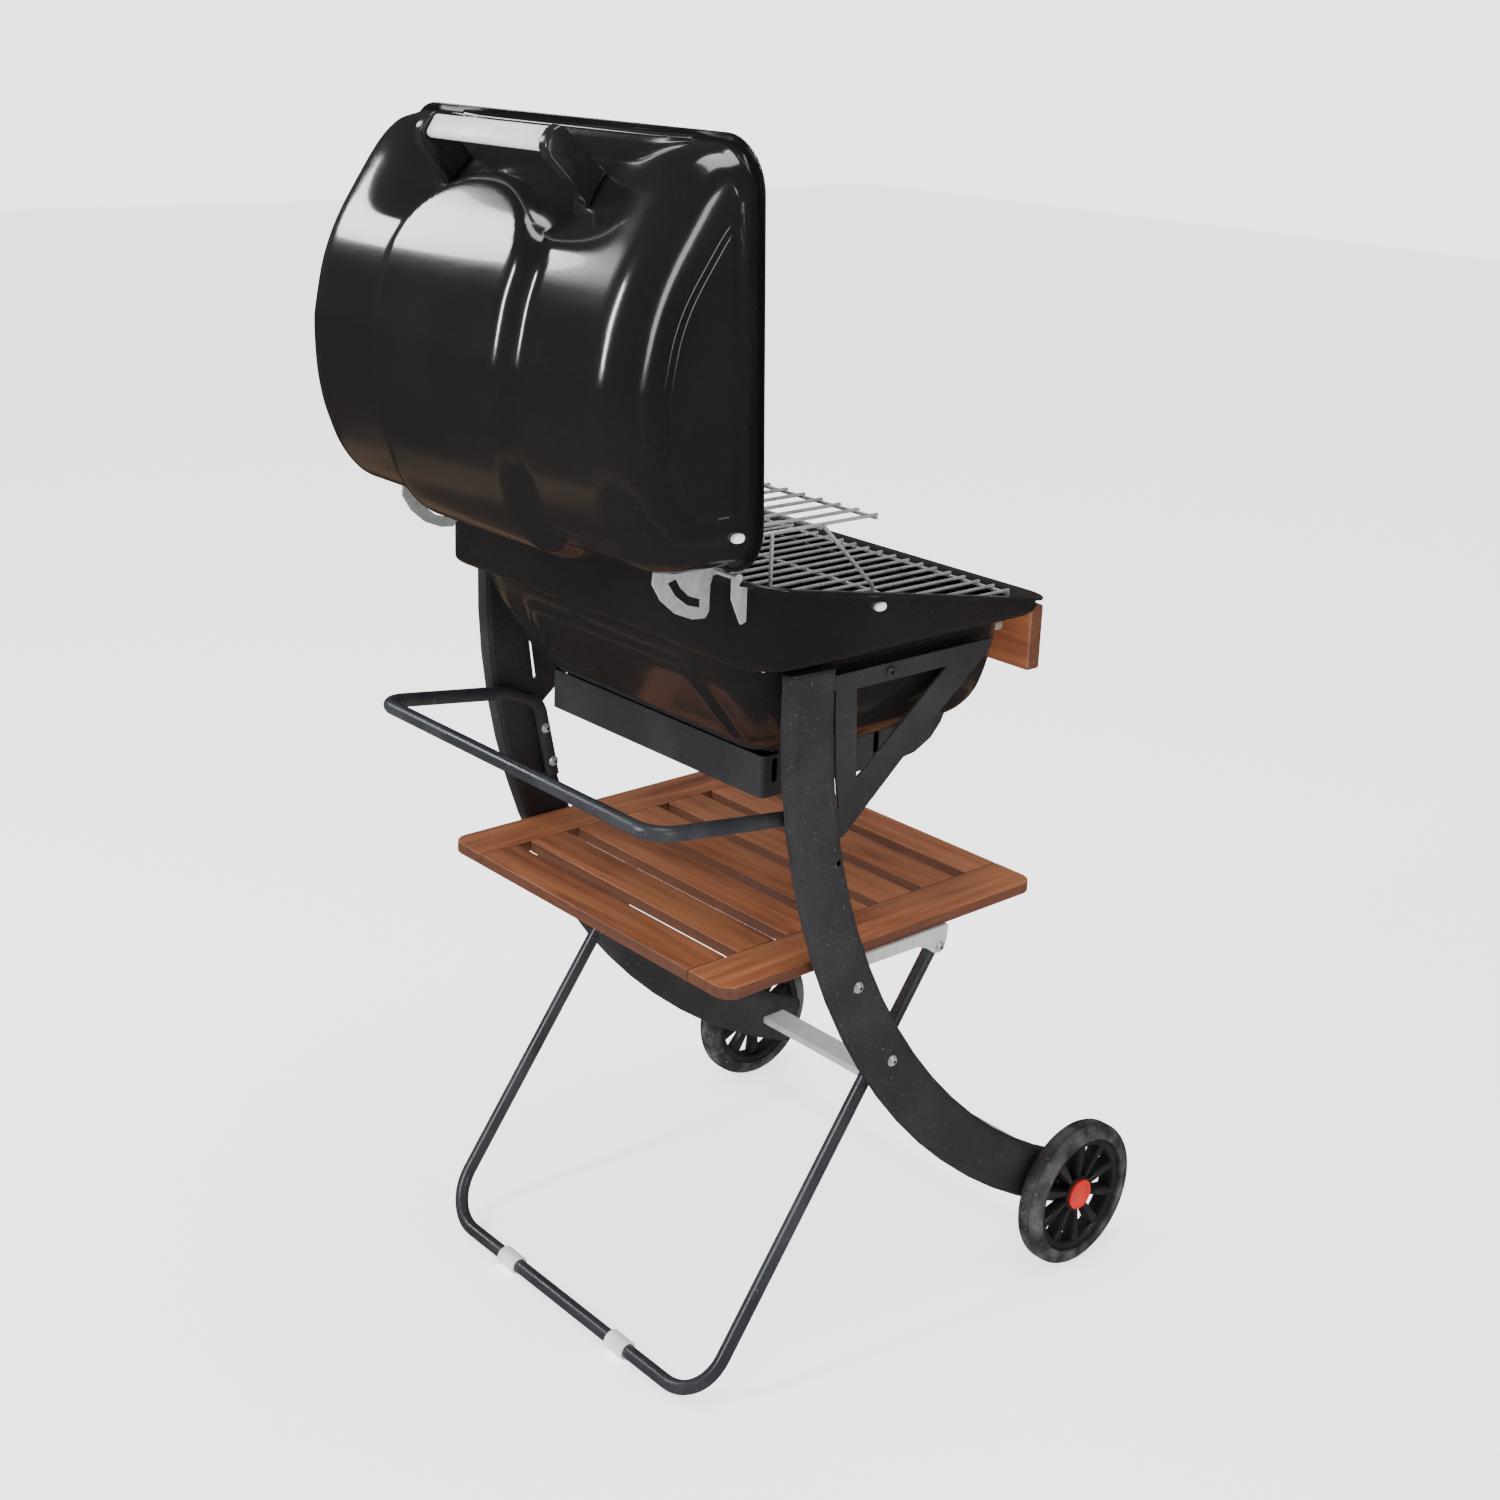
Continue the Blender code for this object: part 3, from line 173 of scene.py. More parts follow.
def place_piece(name, bm, look, body, stands_for=(), smooth=35):
    """Makes a finished piece from a bmesh, in place, and lets it ride on a body."""
    mesh = bpy.data.meshes.new(name)
    bm.to_mesh(mesh)
    bm.free()
    piece = bpy.data.objects.new(name, mesh)
    bpy.context.scene.collection.objects.link(piece)
    mesh.materials.append(look)
    mesh.shade_smooth()
    mesh.set_sharp_from_angle(angle=radians(smooth))
    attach(piece, body)
    if stands_for:
        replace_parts(piece, *stands_for)
    return piece


def soften(bm, edges, width, segments=3):
    bmesh.ops.bevel(bm, geom=edges, offset=width, segments=segments, profile=0.5, affect="EDGES",
                    material=-1, offset_type="OFFSET", clamp_overlap=True)


def only(kind, geometry):
    """The vertices, edges or faces in what an operator returns."""
    return [part for part in geometry if isinstance(part, kind)]


def leg_plug(name, side, angle, outward):
    """A flat-oval cap across the leg's end, at an angle of the leg's arc."""
    bm = bmesh.new()
    bmesh.ops.create_circle(bm, segments=40, radius=LEG_THICK / 2, cap_ends=True)
    reach = LEG_WIDTH / 2 - LEG_THICK / 2
    for v in bm.verts:
        v.co.y += reach if v.co.y > 0 else -reach
    grown = bmesh.ops.extrude_face_region(bm, geom=bm.faces[:])["geom"]
    bmesh.ops.translate(bm, vec=(0, 0, PLUG_HEIGHT), verts=only(bmesh.types.BMVert, grown))
    bmesh.ops.recalc_face_normals(bm, faces=bm.faces[:])
    soften(bm, [e for e in bm.edges if all(v.co.z > PLUG_HEIGHT / 2 for v in e.verts)], 0.0016)
    along = Vector((0.0, -sin(angle), cos(angle))) * outward
    across = Vector((0.0, cos(angle), sin(angle)))
    centre = Vector((side * (LEG_INNER_X + LEG_THICK / 2), LEG_ARC_CENTRE[0], LEG_ARC_CENTRE[1]))
    centre += across * LEG_ARC_RADIUS + along * TOUCH
    turn = Matrix((across.cross(along), across, along)).transposed().to_4x4()
    bmesh.ops.transform(bm, matrix=Matrix.Translation(centre) @ turn, verts=bm.verts[:])
    return place_piece(name, bm, black_plastic, "frame")


for label, side in SIDES:
    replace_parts(leg_plug(f"top_plug_{label}", side, LEG_TOP_ANGLE, 1), f"leg_plug_{label}")
    leg_plug(f"lower_plug_{label}", side, LEG_FOOT_ANGLE, -1)


# ---- push handle and swing leg ----------------------------------------------------------------
# Round 16 mm steel tube, bent cold and painted black with a slight blue sheen. One tube makes
# the handle behind the bowl and another the folding leg that stands on the floor.
tube_paint = finish("satin_tube_paint", (0.020, 0.021, 0.025), (0.032, 0.034, 0.039), 0.24, 0.38,
                    14.0, 1100.0, 0.00005, dust=0.2)
TUBE_RADIUS = 0.008


def bent_path(corners, radius, steps=12):
    """A line of points whose inner corners are arcs."""
    points = [Vector(corners[0])]
    for before, corner, after in zip(corners, corners[1:], corners[2:]):
        corner = Vector(corner)
        back = (Vector(before) - corner).normalized()
        ahead = (Vector(after) - corner).normalized()
        half = back.angle(ahead) / 2
        middle = corner + (back + ahead).normalized() * (radius / sin(half))
        a, b = corner + back * radius / tan(half) - middle, corner + ahead * radius / tan(half) - middle
        points += [middle + a.normalized().slerp(b.normalized(), i / steps) * radius
                   for i in range(steps + 1)]
    return points + [Vector(corners[-1])]


def bent_tube(name, path, radius, look, body, stands_for=(), round_steps=5):
    """A round tube or rod along a line of points."""
    curve = bpy.data.curves.new(name, "CURVE")
    curve.dimensions = "3D"
    curve.bevel_depth = radius
    curve.bevel_resolution = round_steps
    curve.use_fill_caps = True
    line = curve.splines.new("POLY")
    line.points.add(len(path) - 1)
    for point, place in zip(line.points, path):
        point.co = (*place, 1.0)
    draft = bpy.data.objects.new(name + "_line", curve)
    bpy.context.scene.collection.objects.link(draft)
    mesh = bpy.data.meshes.new_from_object(draft.evaluated_get(bpy.context.evaluated_depsgraph_get()))
    bpy.data.objects.remove(draft)
    bm = bmesh.new()
    bm.from_mesh(mesh)
    bpy.data.meshes.remove(mesh)
    bmesh.ops.remove_doubles(bm, verts=bm.verts[:], dist=0.00001)
    bmesh.ops.recalc_face_normals(bm, faces=bm.faces[:])
    return place_piece(name, bm, look, body, stands_for, 50)


handle_half = LEG_INNER_X - TOUCH - TUBE_RADIUS
handle_side = [(0.071, 0.546), (0.092, 0.640), (0.135, 0.660), (0.305, 0.682)]
handle_line = [(-handle_half, y + SHIFT_Y, z) for y, z in handle_side]
handle_line += [(handle_half, y + SHIFT_Y, z) for y, z in reversed(handle_side)]
HANDLE_BEND, SWING_BEND = 0.028, 0.055
bent_tube("handle_tube", bent_path(handle_line, HANDLE_BEND), TUBE_RADIUS, tube_paint, "frame",
          ["push_handle"])

PIVOT_Y, PIVOT_Z = -0.094 + SHIFT_Y, 0.4575
FOOT_Y, FOOT_Z, SWING_HALF, PAST_PIVOT = 0.2238 + SHIFT_Y, 0.0112, 0.2394, 0.008
swing_top = (PIVOT_Y + (PIVOT_Y - FOOT_Y) / (PIVOT_Z - FOOT_Z) * PAST_PIVOT, PIVOT_Z + PAST_PIVOT)
swing_line = [(-SWING_HALF, *swing_top), (-SWING_HALF, FOOT_Y, FOOT_Z), (SWING_HALF, FOOT_Y, FOOT_Z),
              (SWING_HALF, *swing_top)]
bent_tube("swing_tube", bent_path(swing_line, SWING_BEND), TUBE_RADIUS, tube_paint, "swing_leg",
          ["swing_leg"])


# ---- foot sleeves ----------------------------------------------------------------------------
# Two white plastic sleeves pushed onto the swing leg's floor bar, each with a raised collar at
# both ends and fine moulded rings between them.
white_plastic = finish("white_plastic", (0.80, 0.80, 0.78), (0.70, 0.69, 0.66), 0.32, 0.5, 60.0,
                       900.0, 0.00005, dust=0.5)


def turned_piece(bm, profile, centre, steps=48):
    """Spins (x, radius) points about an axis along X through centre, given as Y and Z."""
    verts = [bm.verts.new((x, centre[0], centre[1] + r)) for x, r in profile]
    edges = [bm.edges.new(pair) for pair in zip(verts, verts[1:])]
    bmesh.ops.spin(bm, geom=verts + edges, cent=(0, *centre), axis=(1, 0, 0), dvec=(0, 0, 0),
                   angle=2 * pi, steps=steps, use_merge=True)
    bmesh.ops.remove_doubles(bm, verts=bm.verts[:], dist=0.00001)
    bmesh.ops.recalc_face_normals(bm, faces=bm.faces[:])


SLEEVE_X, SLEEVE_RINGS, RING_SPACING = 0.103, 9, 0.0024
sleeve = [(-0.015, 0.0084), (-0.015, 0.0106), (-0.0145, 0.0111), (-0.0115, 0.0111), (-0.0110, 0.0107)]
for ring in range(SLEEVE_RINGS):
    x = -0.0095 + ring * RING_SPACING
    sleeve += [(x - 0.0005, 0.0106), (x, 0.0109), (x + 0.0005, 0.0106)]
sleeve += [(0.0110, 0.0107), (0.0115, 0.0111), (0.0145, 0.0111), (0.015, 0.0106), (0.015, 0.0084),
           (-0.015, 0.0084)]
for label, side in SIDES:
    bm = bmesh.new()
    turned_piece(bm, [(x + side * SLEEVE_X, r) for x, r in sleeve], (FOOT_Y, FOOT_Z))
    place_piece(f"foot_grip_{label}", bm, white_plastic, "swing_leg", [f"foot_sleeve_{label}"])


# ---- bolts -----------------------------------------------------------------------------------
# Zinc-plated machine screws with domed heads, a hexagon socket and a thin washer. They join the
# legs, brackets, shelf, handle and front board.
zinc = finish("bright_zinc", (0.74, 0.75, 0.76), (0.56, 0.57, 0.58), 0.26, 0.42, 120.0, 700.0,
              0.00004, dust=0.2, metallic=0.7)


BOLT_RADIUS, BOLT_HEAD, PIVOT_HEAD, LOW_HEAD, SOCKET_DEPTH = 0.00625, 0.0045, 0.0033, 0.0030, 0.0022


def domed_bolt(name, place, turn, head, look, body, stands_for=()):
    """A screw head whose foot is at place; turn is a matrix that points its +X outwards."""
    bm = bmesh.new()
    radius = BOLT_RADIUS
    turned_piece(bm, [(-0.0015, 0.0028), (0.0, 0.0028), (0.0, radius), (0.0006, radius),
                      (0.0007, radius * 0.93), (head * 0.3, radius * 0.92), (head * 0.6, radius * 0.80),
                      (head * 0.85, radius * 0.58), (head * 0.97, radius * 0.40), (head, radius * 0.37)],
                 (0.0, 0.0), 32)
    face_x = Matrix.Translation((head, 0, 0)) @ Matrix.Rotation(pi / 2, 4, "Y")
    socket = bmesh.ops.create_circle(bm, segments=6, radius=radius * 0.34, matrix=face_x)
    lip = [e for e in bm.edges if e.is_boundary and all(abs(v.co.x - head) < 1e-5 for v in e.verts)]
    hexagon = [e for e in bm.edges if e.verts[0] in socket["verts"]]
    bmesh.ops.bridge_loops(bm, edges=lip + hexagon)
    deep = bmesh.ops.extrude_edge_only(bm, edges=hexagon)["geom"]
    bmesh.ops.translate(bm, vec=(-SOCKET_DEPTH, 0, 0), verts=only(bmesh.types.BMVert, deep))
    bmesh.ops.contextual_create(bm, geom=only(bmesh.types.BMEdge, deep))
    foot = [e for e in bm.edges if e.is_boundary]
    bmesh.ops.contextual_create(bm, geom=foot)
    bmesh.ops.recalc_face_normals(bm, faces=bm.faces[:])
    bmesh.ops.transform(bm, matrix=Matrix.Translation(place) @ turn, verts=bm.verts[:])
    return place_piece(name, bm, look, body, stands_for, 30)


def outward(side):
    return Matrix.Rotation(0.0 if side > 0 else pi, 4, "Z")


leg_outer = LEG_INNER_X + LEG_THICK + TOUCH
for label, side in SIDES:
    for base, y, z in (("shelf_bolt", 0.050, 0.460), ("stop_bolt", -0.0077, 0.356)):
        domed_bolt(f"{base}_head_{label}", (side * leg_outer, y + SHIFT_Y, z), outward(side), BOLT_HEAD,
                   zinc, "frame", [f"{base}_{label}"])
    inside_tube = side * (LEG_INNER_X - 2 * TUBE_RADIUS - 2 * TOUCH)
    domed_bolt(f"handle_bolt_head_{label}", (inside_tube, 0.087 + SHIFT_Y, 0.609), outward(-side),
               BOLT_HEAD, zinc, "frame", [f"handle_bolt_{label}"])
    domed_bolt(f"lower_handle_bolt_{label}", (inside_tube, 0.0757 + SHIFT_Y, 0.5651), outward(-side),
               BOLT_HEAD, zinc, "frame")
    domed_bolt(f"bowl_bolt_head_{label}", (side * 0.2624, 0.020 + SHIFT_Y, 0.798), outward(side),
               LOW_HEAD, powder_coat, "frame", [f"bowl_bolt_{label}"])
    domed_bolt(f"pivot_bolt_head_{label}", (side * LEG_INNER_X, PIVOT_Y, PIVOT_Z), outward(side),
               PIVOT_HEAD, zinc, "shelf", [f"pivot_bolt_{label}"])
    dress(f"front_bar_bolt_{label}", zinc)


# ---- wheels ----------------------------------------------------------------------------------
# Moulded black plastic wheels with ten tapered spokes, a plain dark tyre with two shallow
# grooves, and a red snap-on cap over the end of the axle.
AXLE_Y, WHEEL_RADIUS = -0.315 + SHIFT_Y, 0.089
rubber = finish("scuffed_tyre", (0.016, 0.016, 0.017), (0.055, 0.055, 0.056), 0.48, 0.72, 38.0, 500.0,
                0.00018, dust=0.6)
red_plastic = finish("red_cap_plastic", (0.55, 0.015, 0.012), (0.44, 0.012, 0.010), 0.22, 0.36, 80.0,
                     900.0, 0.00003, dust=0.3)
SPOKES = 10


def add_shell(whole, part):
    """Adds a finished shell to a piece that has several."""
    draft = bpy.data.meshes.new("shell_draft")
    part.to_mesh(draft)
    part.free()
    whole.from_mesh(draft)
    bpy.data.meshes.remove(draft)


for label, side in SIDES:
    ring = bmesh.new()
    tyre = [(0.2785, 0.0712), (0.2775, 0.0745), (0.2778, 0.0790), (0.2787, 0.0835), (0.2805, 0.0862),
            (0.2830, 0.0878), (0.2855, 0.0887), (0.2861, 0.0878), (0.2872, 0.0878), (0.2878, 0.0889),
            (0.2925, 0.0890), (0.2972, 0.0889), (0.2978, 0.0878), (0.2989, 0.0878), (0.2995, 0.0887),
            (0.3020, 0.0878), (0.3045, 0.0862), (0.3063, 0.0835), (0.3072, 0.0790), (0.3075, 0.0745),
            (0.3065, 0.0712), (0.2785, 0.0712)]
    turned_piece(ring, [(side * x, r) for x, r in tyre], (AXLE_Y, WHEEL_RADIUS), 96)
    place_piece(f"tyre_ring_{label}", ring, rubber, f"wheel_{label}", [f"tyre_{label}"])

    moulding = bmesh.new()
    rim = [(0.2800, 0.0708), (0.2800, 0.0640), (0.2808, 0.0628), (0.2900, 0.0622), (0.2995, 0.0612),
           (0.3015, 0.0620), (0.3028, 0.0640), (0.3030, 0.0690), (0.3022, 0.0708), (0.2800, 0.0708)]
    hub = [(0.2790, 0.0056), (0.2790, 0.0170), (0.2800, 0.0185), (0.2940, 0.0200), (0.2985, 0.0222),
           (0.3000, 0.0222), (0.3006, 0.0205), (0.3006, 0.0056), (0.2790, 0.0056)]
    for profile, steps in ((rim, 96), (hub, 64)):
        part = bmesh.new()
        turned_piece(part, [(side * x, r) for x, r in profile], (AXLE_Y, WHEEL_RADIUS), steps)
        add_shell(moulding, part)
    for spoke in range(SPOKES):
        part = bmesh.new()
        bmesh.ops.create_cube(part, size=1.0)
        for v in part.verts:
            far, front = v.co.z > 0, v.co.x > 0
            wide = (0.0150 if far else 0.0078) * (0.72 if front else 1.0)
            v.co = Vector(((0.3016 if far else 0.2992) if front else 0.2860, v.co.y * wide,
                           0.0635 if far else 0.019))
        soften(part, part.edges[:], 0.0012, 2)
        turn = Matrix.Rotation(2 * pi * spoke / SPOKES, 4, "X")
        where = Matrix.Translation((0, AXLE_Y, WHEEL_RADIUS)) @ Matrix.Diagonal((side, 1, 1, 1)) @ turn
        bmesh.ops.transform(part, matrix=where, verts=part.verts[:])
        bmesh.ops.recalc_face_normals(part, faces=part.faces[:])
        add_shell(moulding, part)
    place_piece(f"wheel_moulding_{label}", moulding, black_plastic, f"wheel_{label}",
                [f"wheel_{label}"])

    cap = bmesh.new()
    turned_piece(cap, [(side * x, r) for x, r in (
        (0.3004, 0.0), (0.3004, 0.0184), (0.3030, 0.0186), (0.3040, 0.0180), (0.3046, 0.0166),
        (0.3046, 0.0150), (0.3052, 0.0142), (0.3066, 0.0100), (0.3070, 0.0050), (0.3071, 0.0))],
        (AXLE_Y, WHEEL_RADIUS), 48)
    place_piece(f"hub_dome_{label}", cap, red_plastic, f"wheel_{label}", [f"hub_cap_{label}"])
dress("wheel_axle", zinc)


# ---- axle strip ------------------------------------------------------------------------------
# A folded strip of bare aluminium that joins the two legs over the axle, with turned-down
# edges and a faint brushed grain along its length.
aluminium = finish("brushed_aluminium", (0.82, 0.83, 0.84), (0.70, 0.71, 0.72), 0.32, 0.48, 40.0,
                   800.0, 0.00003, dust=0.1, metallic=0.6)
dress("axle_channel", aluminium)


# ---- shelf -----------------------------------------------------------------------------------
# Seven slats between two side rails, sawn from oiled reddish hardwood with eased edges. Two
# aluminium angles under the rails hang the shelf on its bolts.
hardwood, given, result = new_group(
    "hardwood_grain", [("Place", "NodeSocketVector", (0, 0, 0)), ("Tone", "NodeSocketFloat", 0.5)],
    [("Colour", "NodeSocketColor"), ("Roughness", "NodeSocketFloat"), ("Height", "NodeSocketFloat")])
along = given.outputs["Place"]
figure = add_node(hardwood, "ShaderNodeTexNoise", values={"Scale": 1.0, "Detail": 6.0,
                                                          "Roughness": 0.62, "Distortion": 0.8})
hardwood.links.new(along, figure.inputs["Vector"])
ramp = hardwood.nodes.new("ShaderNodeValToRGB")
hardwood.links.new(figure.outputs["Fac"], ramp.inputs["Fac"])
dark, light = ramp.color_ramp.elements
dark.position, dark.color = 0.28, (0.105, 0.030, 0.012, 1)
light.position, light.color = 0.74, (0.43, 0.165, 0.070, 1)
ramp.color_ramp.elements.new(0.50).color = (0.270, 0.086, 0.034, 1)
pores = add_node(hardwood, "ShaderNodeTexNoise", values={"Scale": 7.0, "Detail": 3.0, "Roughness": 0.7})
hardwood.links.new(along, pores.inputs["Vector"])
dark_pores = remap(hardwood, pores.outputs["Fac"], 0.60, 0.72, 0.0, 0.55)
streaked = mix_colour(hardwood, dark_pores, ramp.outputs["Color"], (0.070, 0.020, 0.009))
toned = mix_colour(hardwood, given.outputs["Tone"], streaked, (0.36, 0.135, 0.055))
hardwood.links.new(toned, result.inputs["Colour"])
for source, span, label in ((figure, (0.3, 0.7, 0.56, 0.40), "Roughness"),
                            (pores, (0.55, 0.75, 1.0, 0.0), "Height")):
    hardwood.links.new(remap(hardwood, source.outputs["Fac"], *span), result.inputs[label])


def wood(name, stretch, main_face):
    """Oiled hardwood; stretch scales the pattern along X, Y and Z, and is least along the grain. Faces
    which don't face along main_face get painted shade: they are darker, as if shaded in the gaps between
    the boards."""
    look = bpy.data.materials.new(name)
    look.use_nodes = True
    tree = look.node_tree
    shader = tree.nodes["Principled BSDF"]
    place = tree.nodes.new("ShaderNodeTexCoord").outputs["Object"]
    mapping = add_node(tree, "ShaderNodeMapping", values={"Scale": stretch, "Location": (3.1, 1.7, 0.4)})
    group = add_node(tree, "ShaderNodeGroup", {"node_tree": hardwood})
    bump = add_node(tree, "ShaderNodeBump", values={"Strength": 0.5, "Distance": 0.0003})
    tree.links.new(place, mapping.inputs["Vector"])
    tree.links.new(mapping.outputs["Vector"], group.inputs["Place"])
    tree.links.new(remap(tree, noise(tree, place, 11.0, 0.0), 0.35, 0.65, 0.0, 0.5), group.inputs["Tone"])
    facing = tree.nodes.new("ShaderNodeSeparateXYZ")
    tree.links.new(tree.nodes.new("ShaderNodeNewGeometry").outputs["Normal"], facing.inputs[0])
    flat = add_node(tree, "ShaderNodeMath", {"operation": "ABSOLUTE"})
    tree.links.new(facing.outputs[main_face], flat.inputs[0])
    # painted shade: faces turned away from main_face are darkened to stand in for the shade in the gaps
    # between the boards
    painted_edge_shade = remap(tree, flat.outputs[0], 0.35, 0.85, 0.80, 0.0)
    tree.links.new(mix_colour(tree, painted_edge_shade, group.outputs["Colour"], (0.045, 0.014, 0.007)),
                   shader.inputs["Base Color"])
    tree.links.new(group.outputs["Roughness"], shader.inputs["Roughness"])
    tree.links.new(group.outputs["Height"], bump.inputs["Height"])
    tree.links.new(bump.outputs["Normal"], shader.inputs["Normal"])
    return look


slat_wood = wood("slat_hardwood", (4.0, 70.0, 70.0), "Z")
rail_wood = wood("rail_hardwood", (70.0, 4.0, 70.0), "Z")
board_wood = wood("board_hardwood", (4.0, 70.0, 70.0), "Y")


def board(name, low, high, look, body, node, corner=0.0, edge=0.0016):
    """A cut board with eased edges; corner rounds its upright outer corners."""
    bm = bmesh.new()
    bmesh.ops.create_cube(bm, size=1.0)
    centre, size = (low + high) / 2, high - low
    for v in bm.verts:
        v.co = centre + Vector(v.co[i] * size[i] for i in range(3))
    if corner:
        outer = max(low.x, high.x, key=abs)
        uprights = [e for e in bm.edges if all(abs(v.co.x - outer) < 1e-5 for v in e.verts)
                    and abs(e.verts[0].co.z - e.verts[1].co.z) > 1e-5]
        soften(bm, uprights, corner, 10)
    edges = [e for e in bm.edges if e.calc_face_angle(0.0) > radians(50)]
    soften(bm, edges, edge, 3)
    return place_piece(name, bm, look, body, [node], 30)


for number in range(1, 8):
    low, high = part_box(f"shelf_slat_{number}")
    board(f"slat_board_{number}", low, high, slat_wood, "shelf", f"shelf_slat_{number}")
for label, side in SIDES:
    low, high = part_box(f"shelf_rail_{label}")
    board(f"rail_board_{label}", low, high, rail_wood, "shelf", f"shelf_rail_{label}", corner=0.020)
    dress(f"shelf_bracket_{label}", aluminium)


# ---- front board -----------------------------------------------------------------------------
# One upright board of the same oiled hardwood across the cook's side, held off the bowl by a
# bolt and a spacer at each end.
low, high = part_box("front_bar")
board("front_board", low, high, board_wood, "frame", "front_bar", edge=0.003)


# ---- bowl ------------------------------------------------------------------------------------
# A tub deep-drawn from one steel sheet and coated inside and out with gloss black enamel: a rolled
# rim, a wide upright band, a round-edged step and a narrower belly with a raised rear panel.
enamel = finish("gloss_black_enamel", (0.0075, 0.0072, 0.0075), (0.0100, 0.0092, 0.0090), 0.13, 0.21,
                5.0, 260.0, 0.00003, dust=0.05)
enamel.node_tree.nodes["Principled BSDF"].inputs["Coat Weight"].default_value = 0.4
enamel.node_tree.nodes["Principled BSDF"].inputs["Coat Roughness"].default_value = 0.04
HINGE_Y, HINGE_Z = 0.2175 + SHIFT_Y, 0.9225
RIM_SLOPE, RIM_SETBACK, RIM_OFFSET, RIM_GAP = radians(10.2), 0.0045, 0.0028, 0.0008
RIM_HALF_X, RIM_LENGTH, FLANGE, BOWL_LIP, SHEET = 0.283, 0.400, 0.008, 0.0385, 0.0018
RIM_CORNER, WALL_CORNER, LEDGE_ROUND = 0.052, 0.044, 0.0055
LEDGE_Z, TUB_BOTTOM_Z = 0.8275, 0.703
CORNER_STEPS, SIDE_STEPS, END_STEPS = 10, 48, 36


def smooth_between(a, b, c, d, t):
    """A point between b and c on the smooth curve through a, b, c and d."""
    return tuple(0.5 * (2 * q + (r - p) * t + (2 * p - 5 * q + 4 * r - s) * t ** 2
                        + (3 * q - p - 3 * r + s) * t ** 3) for p, q, r, s in zip(a, b, c, d))


def smooth_line(points, steps):
    """The smooth curve through points, with so many steps between each pair."""
    line = []
    for i in range(len(points) - 1):
        a, b = points[max(i - 1, 0)], points[i]
        c, d = points[i + 1], points[min(i + 2, len(points) - 1)]
        line += [smooth_between(a, b, c, d, k / steps) for k in range(steps)]
    return line + [tuple(points[-1])]


def round_box_point(share, half_x, y0, y1, radius):
    """A point on a rectangle with round corners; share counts steps along its sides and corners."""
    for cx, cy, start, steps in ((half_x - radius, y1 - radius, 0, SIDE_STEPS),
                                 (-half_x + radius, y1 - radius, 90, END_STEPS),
                                 (-half_x + radius, y0 + radius, 180, SIDE_STEPS),
                                 (half_x - radius, y0 + radius, 270, END_STEPS)):
        if share < CORNER_STEPS:
            a = radians(start + 90 * share / CORNER_STEPS)
            return cx + radius * cos(a), cy + radius * sin(a)
        share -= CORNER_STEPS
        if share < steps:
            from_x, from_y = cx + radius * cos(radians(start + 90)), cy + radius * sin(radians(start + 90))
            length = (2 * half_x - 2 * radius) if steps == SIDE_STEPS else (y1 - y0 - 2 * radius)
            a = radians(start + 180)
            way = length * share / steps
            return from_x + way * cos(a), from_y + way * sin(a)
        share -= steps
    raise ValueError("share is past the end of the loop")


def bowl_rim_z(y):
    return HINGE_Z - (RIM_OFFSET + RIM_GAP) / cos(RIM_SLOPE) + (y - HINGE_Y) * tan(RIM_SLOPE)


bowl_rear = HINGE_Y - RIM_SETBACK * cos(RIM_SLOPE) + (RIM_OFFSET + RIM_GAP) * sin(RIM_SLOPE)
bowl_front = bowl_rear - (RIM_LENGTH + BOWL_LIP) * cos(RIM_SLOPE)
wall_x, wall_y0, wall_y1 = RIM_HALF_X - FLANGE, bowl_front + FLANGE, bowl_rear - FLANGE
wall_r = WALL_CORNER


def band_bottom(y):
    return min(LEDGE_Z, bowl_rim_z(y) - 0.016)


def mouth(drop, pull):
    """A ring at the rim: drop below the rim plane, pull in from the rim's outer edge."""
    return (RIM_HALF_X - pull, bowl_front + pull, bowl_rear - pull, RIM_CORNER - pull,
            lambda y: bowl_rim_z(y) - drop)


def band(share):
    """A ring on the upright band; share runs from 0 at the rim to 1 at the band's foot."""
    return (wall_x, wall_y0, wall_y1, wall_r,
            lambda y: bowl_rim_z(y) - SHEET + (band_bottom(y) + 0.004 - bowl_rim_z(y) + SHEET) * share)


lip_x, lip_y0, lip_y1, lip_r = wall_x - 0.004, -0.166 + SHIFT_Y, wall_y1 - 0.004, wall_r - 0.004
rings = [(lip_x, lip_y0, lip_y1, lip_r, lambda y: bowl_rim_z(y) - 0.0012),
         (lip_x + 0.0010, lip_y0 - 0.001, lip_y1 + 0.001, lip_r, lambda y: bowl_rim_z(y) - 0.0002),
         mouth(0.0, 0.0022), mouth(0.0004, 0.0007), mouth(0.0014, 0.0002), mouth(0.0026, 0.0007),
         mouth(0.0030, 0.0022), mouth(0.0030, 0.0062), (wall_x + 0.0004, wall_y0, wall_y1, wall_r,
                                                       lambda y: bowl_rim_z(y) - 0.0040)]
rings += [band(share / 12) for share in range(1, 12)]
for a in (radians(22.5 * step) for step in range(5)):
    pull = LEDGE_ROUND * (1 - cos(a))
    rings.append((wall_x - pull, wall_y0 + pull, wall_y1 - pull, wall_r,
                  lambda y, a=a: band_bottom(y) + LEDGE_ROUND * (1 - sin(a))))
belly = [(0.2495, -0.192, 0.190, 0.058, LEDGE_Z - 0.0008), (0.2480, -0.190, 0.187, 0.060, 0.821),
         (0.2475, -0.187, 0.1745, 0.062, 0.790), (0.2440, -0.179, 0.154, 0.064, 0.755),
         (0.2360, -0.172, 0.141, 0.062, 0.733), (0.2200, -0.161, 0.130, 0.056, 0.716),
         (0.1950, -0.148, 0.119, 0.046, 0.7065), (0.1750, -0.132, 0.100, 0.036, TUB_BOTTOM_Z)]
for half_x, y0, y1, radius, z in smooth_line(belly, 6):
    rings.append((half_x, y0 + SHIFT_Y, y1 + SHIFT_Y, radius,
                  lambda y, z=z: min(z, band_bottom(y) - 0.0006)))

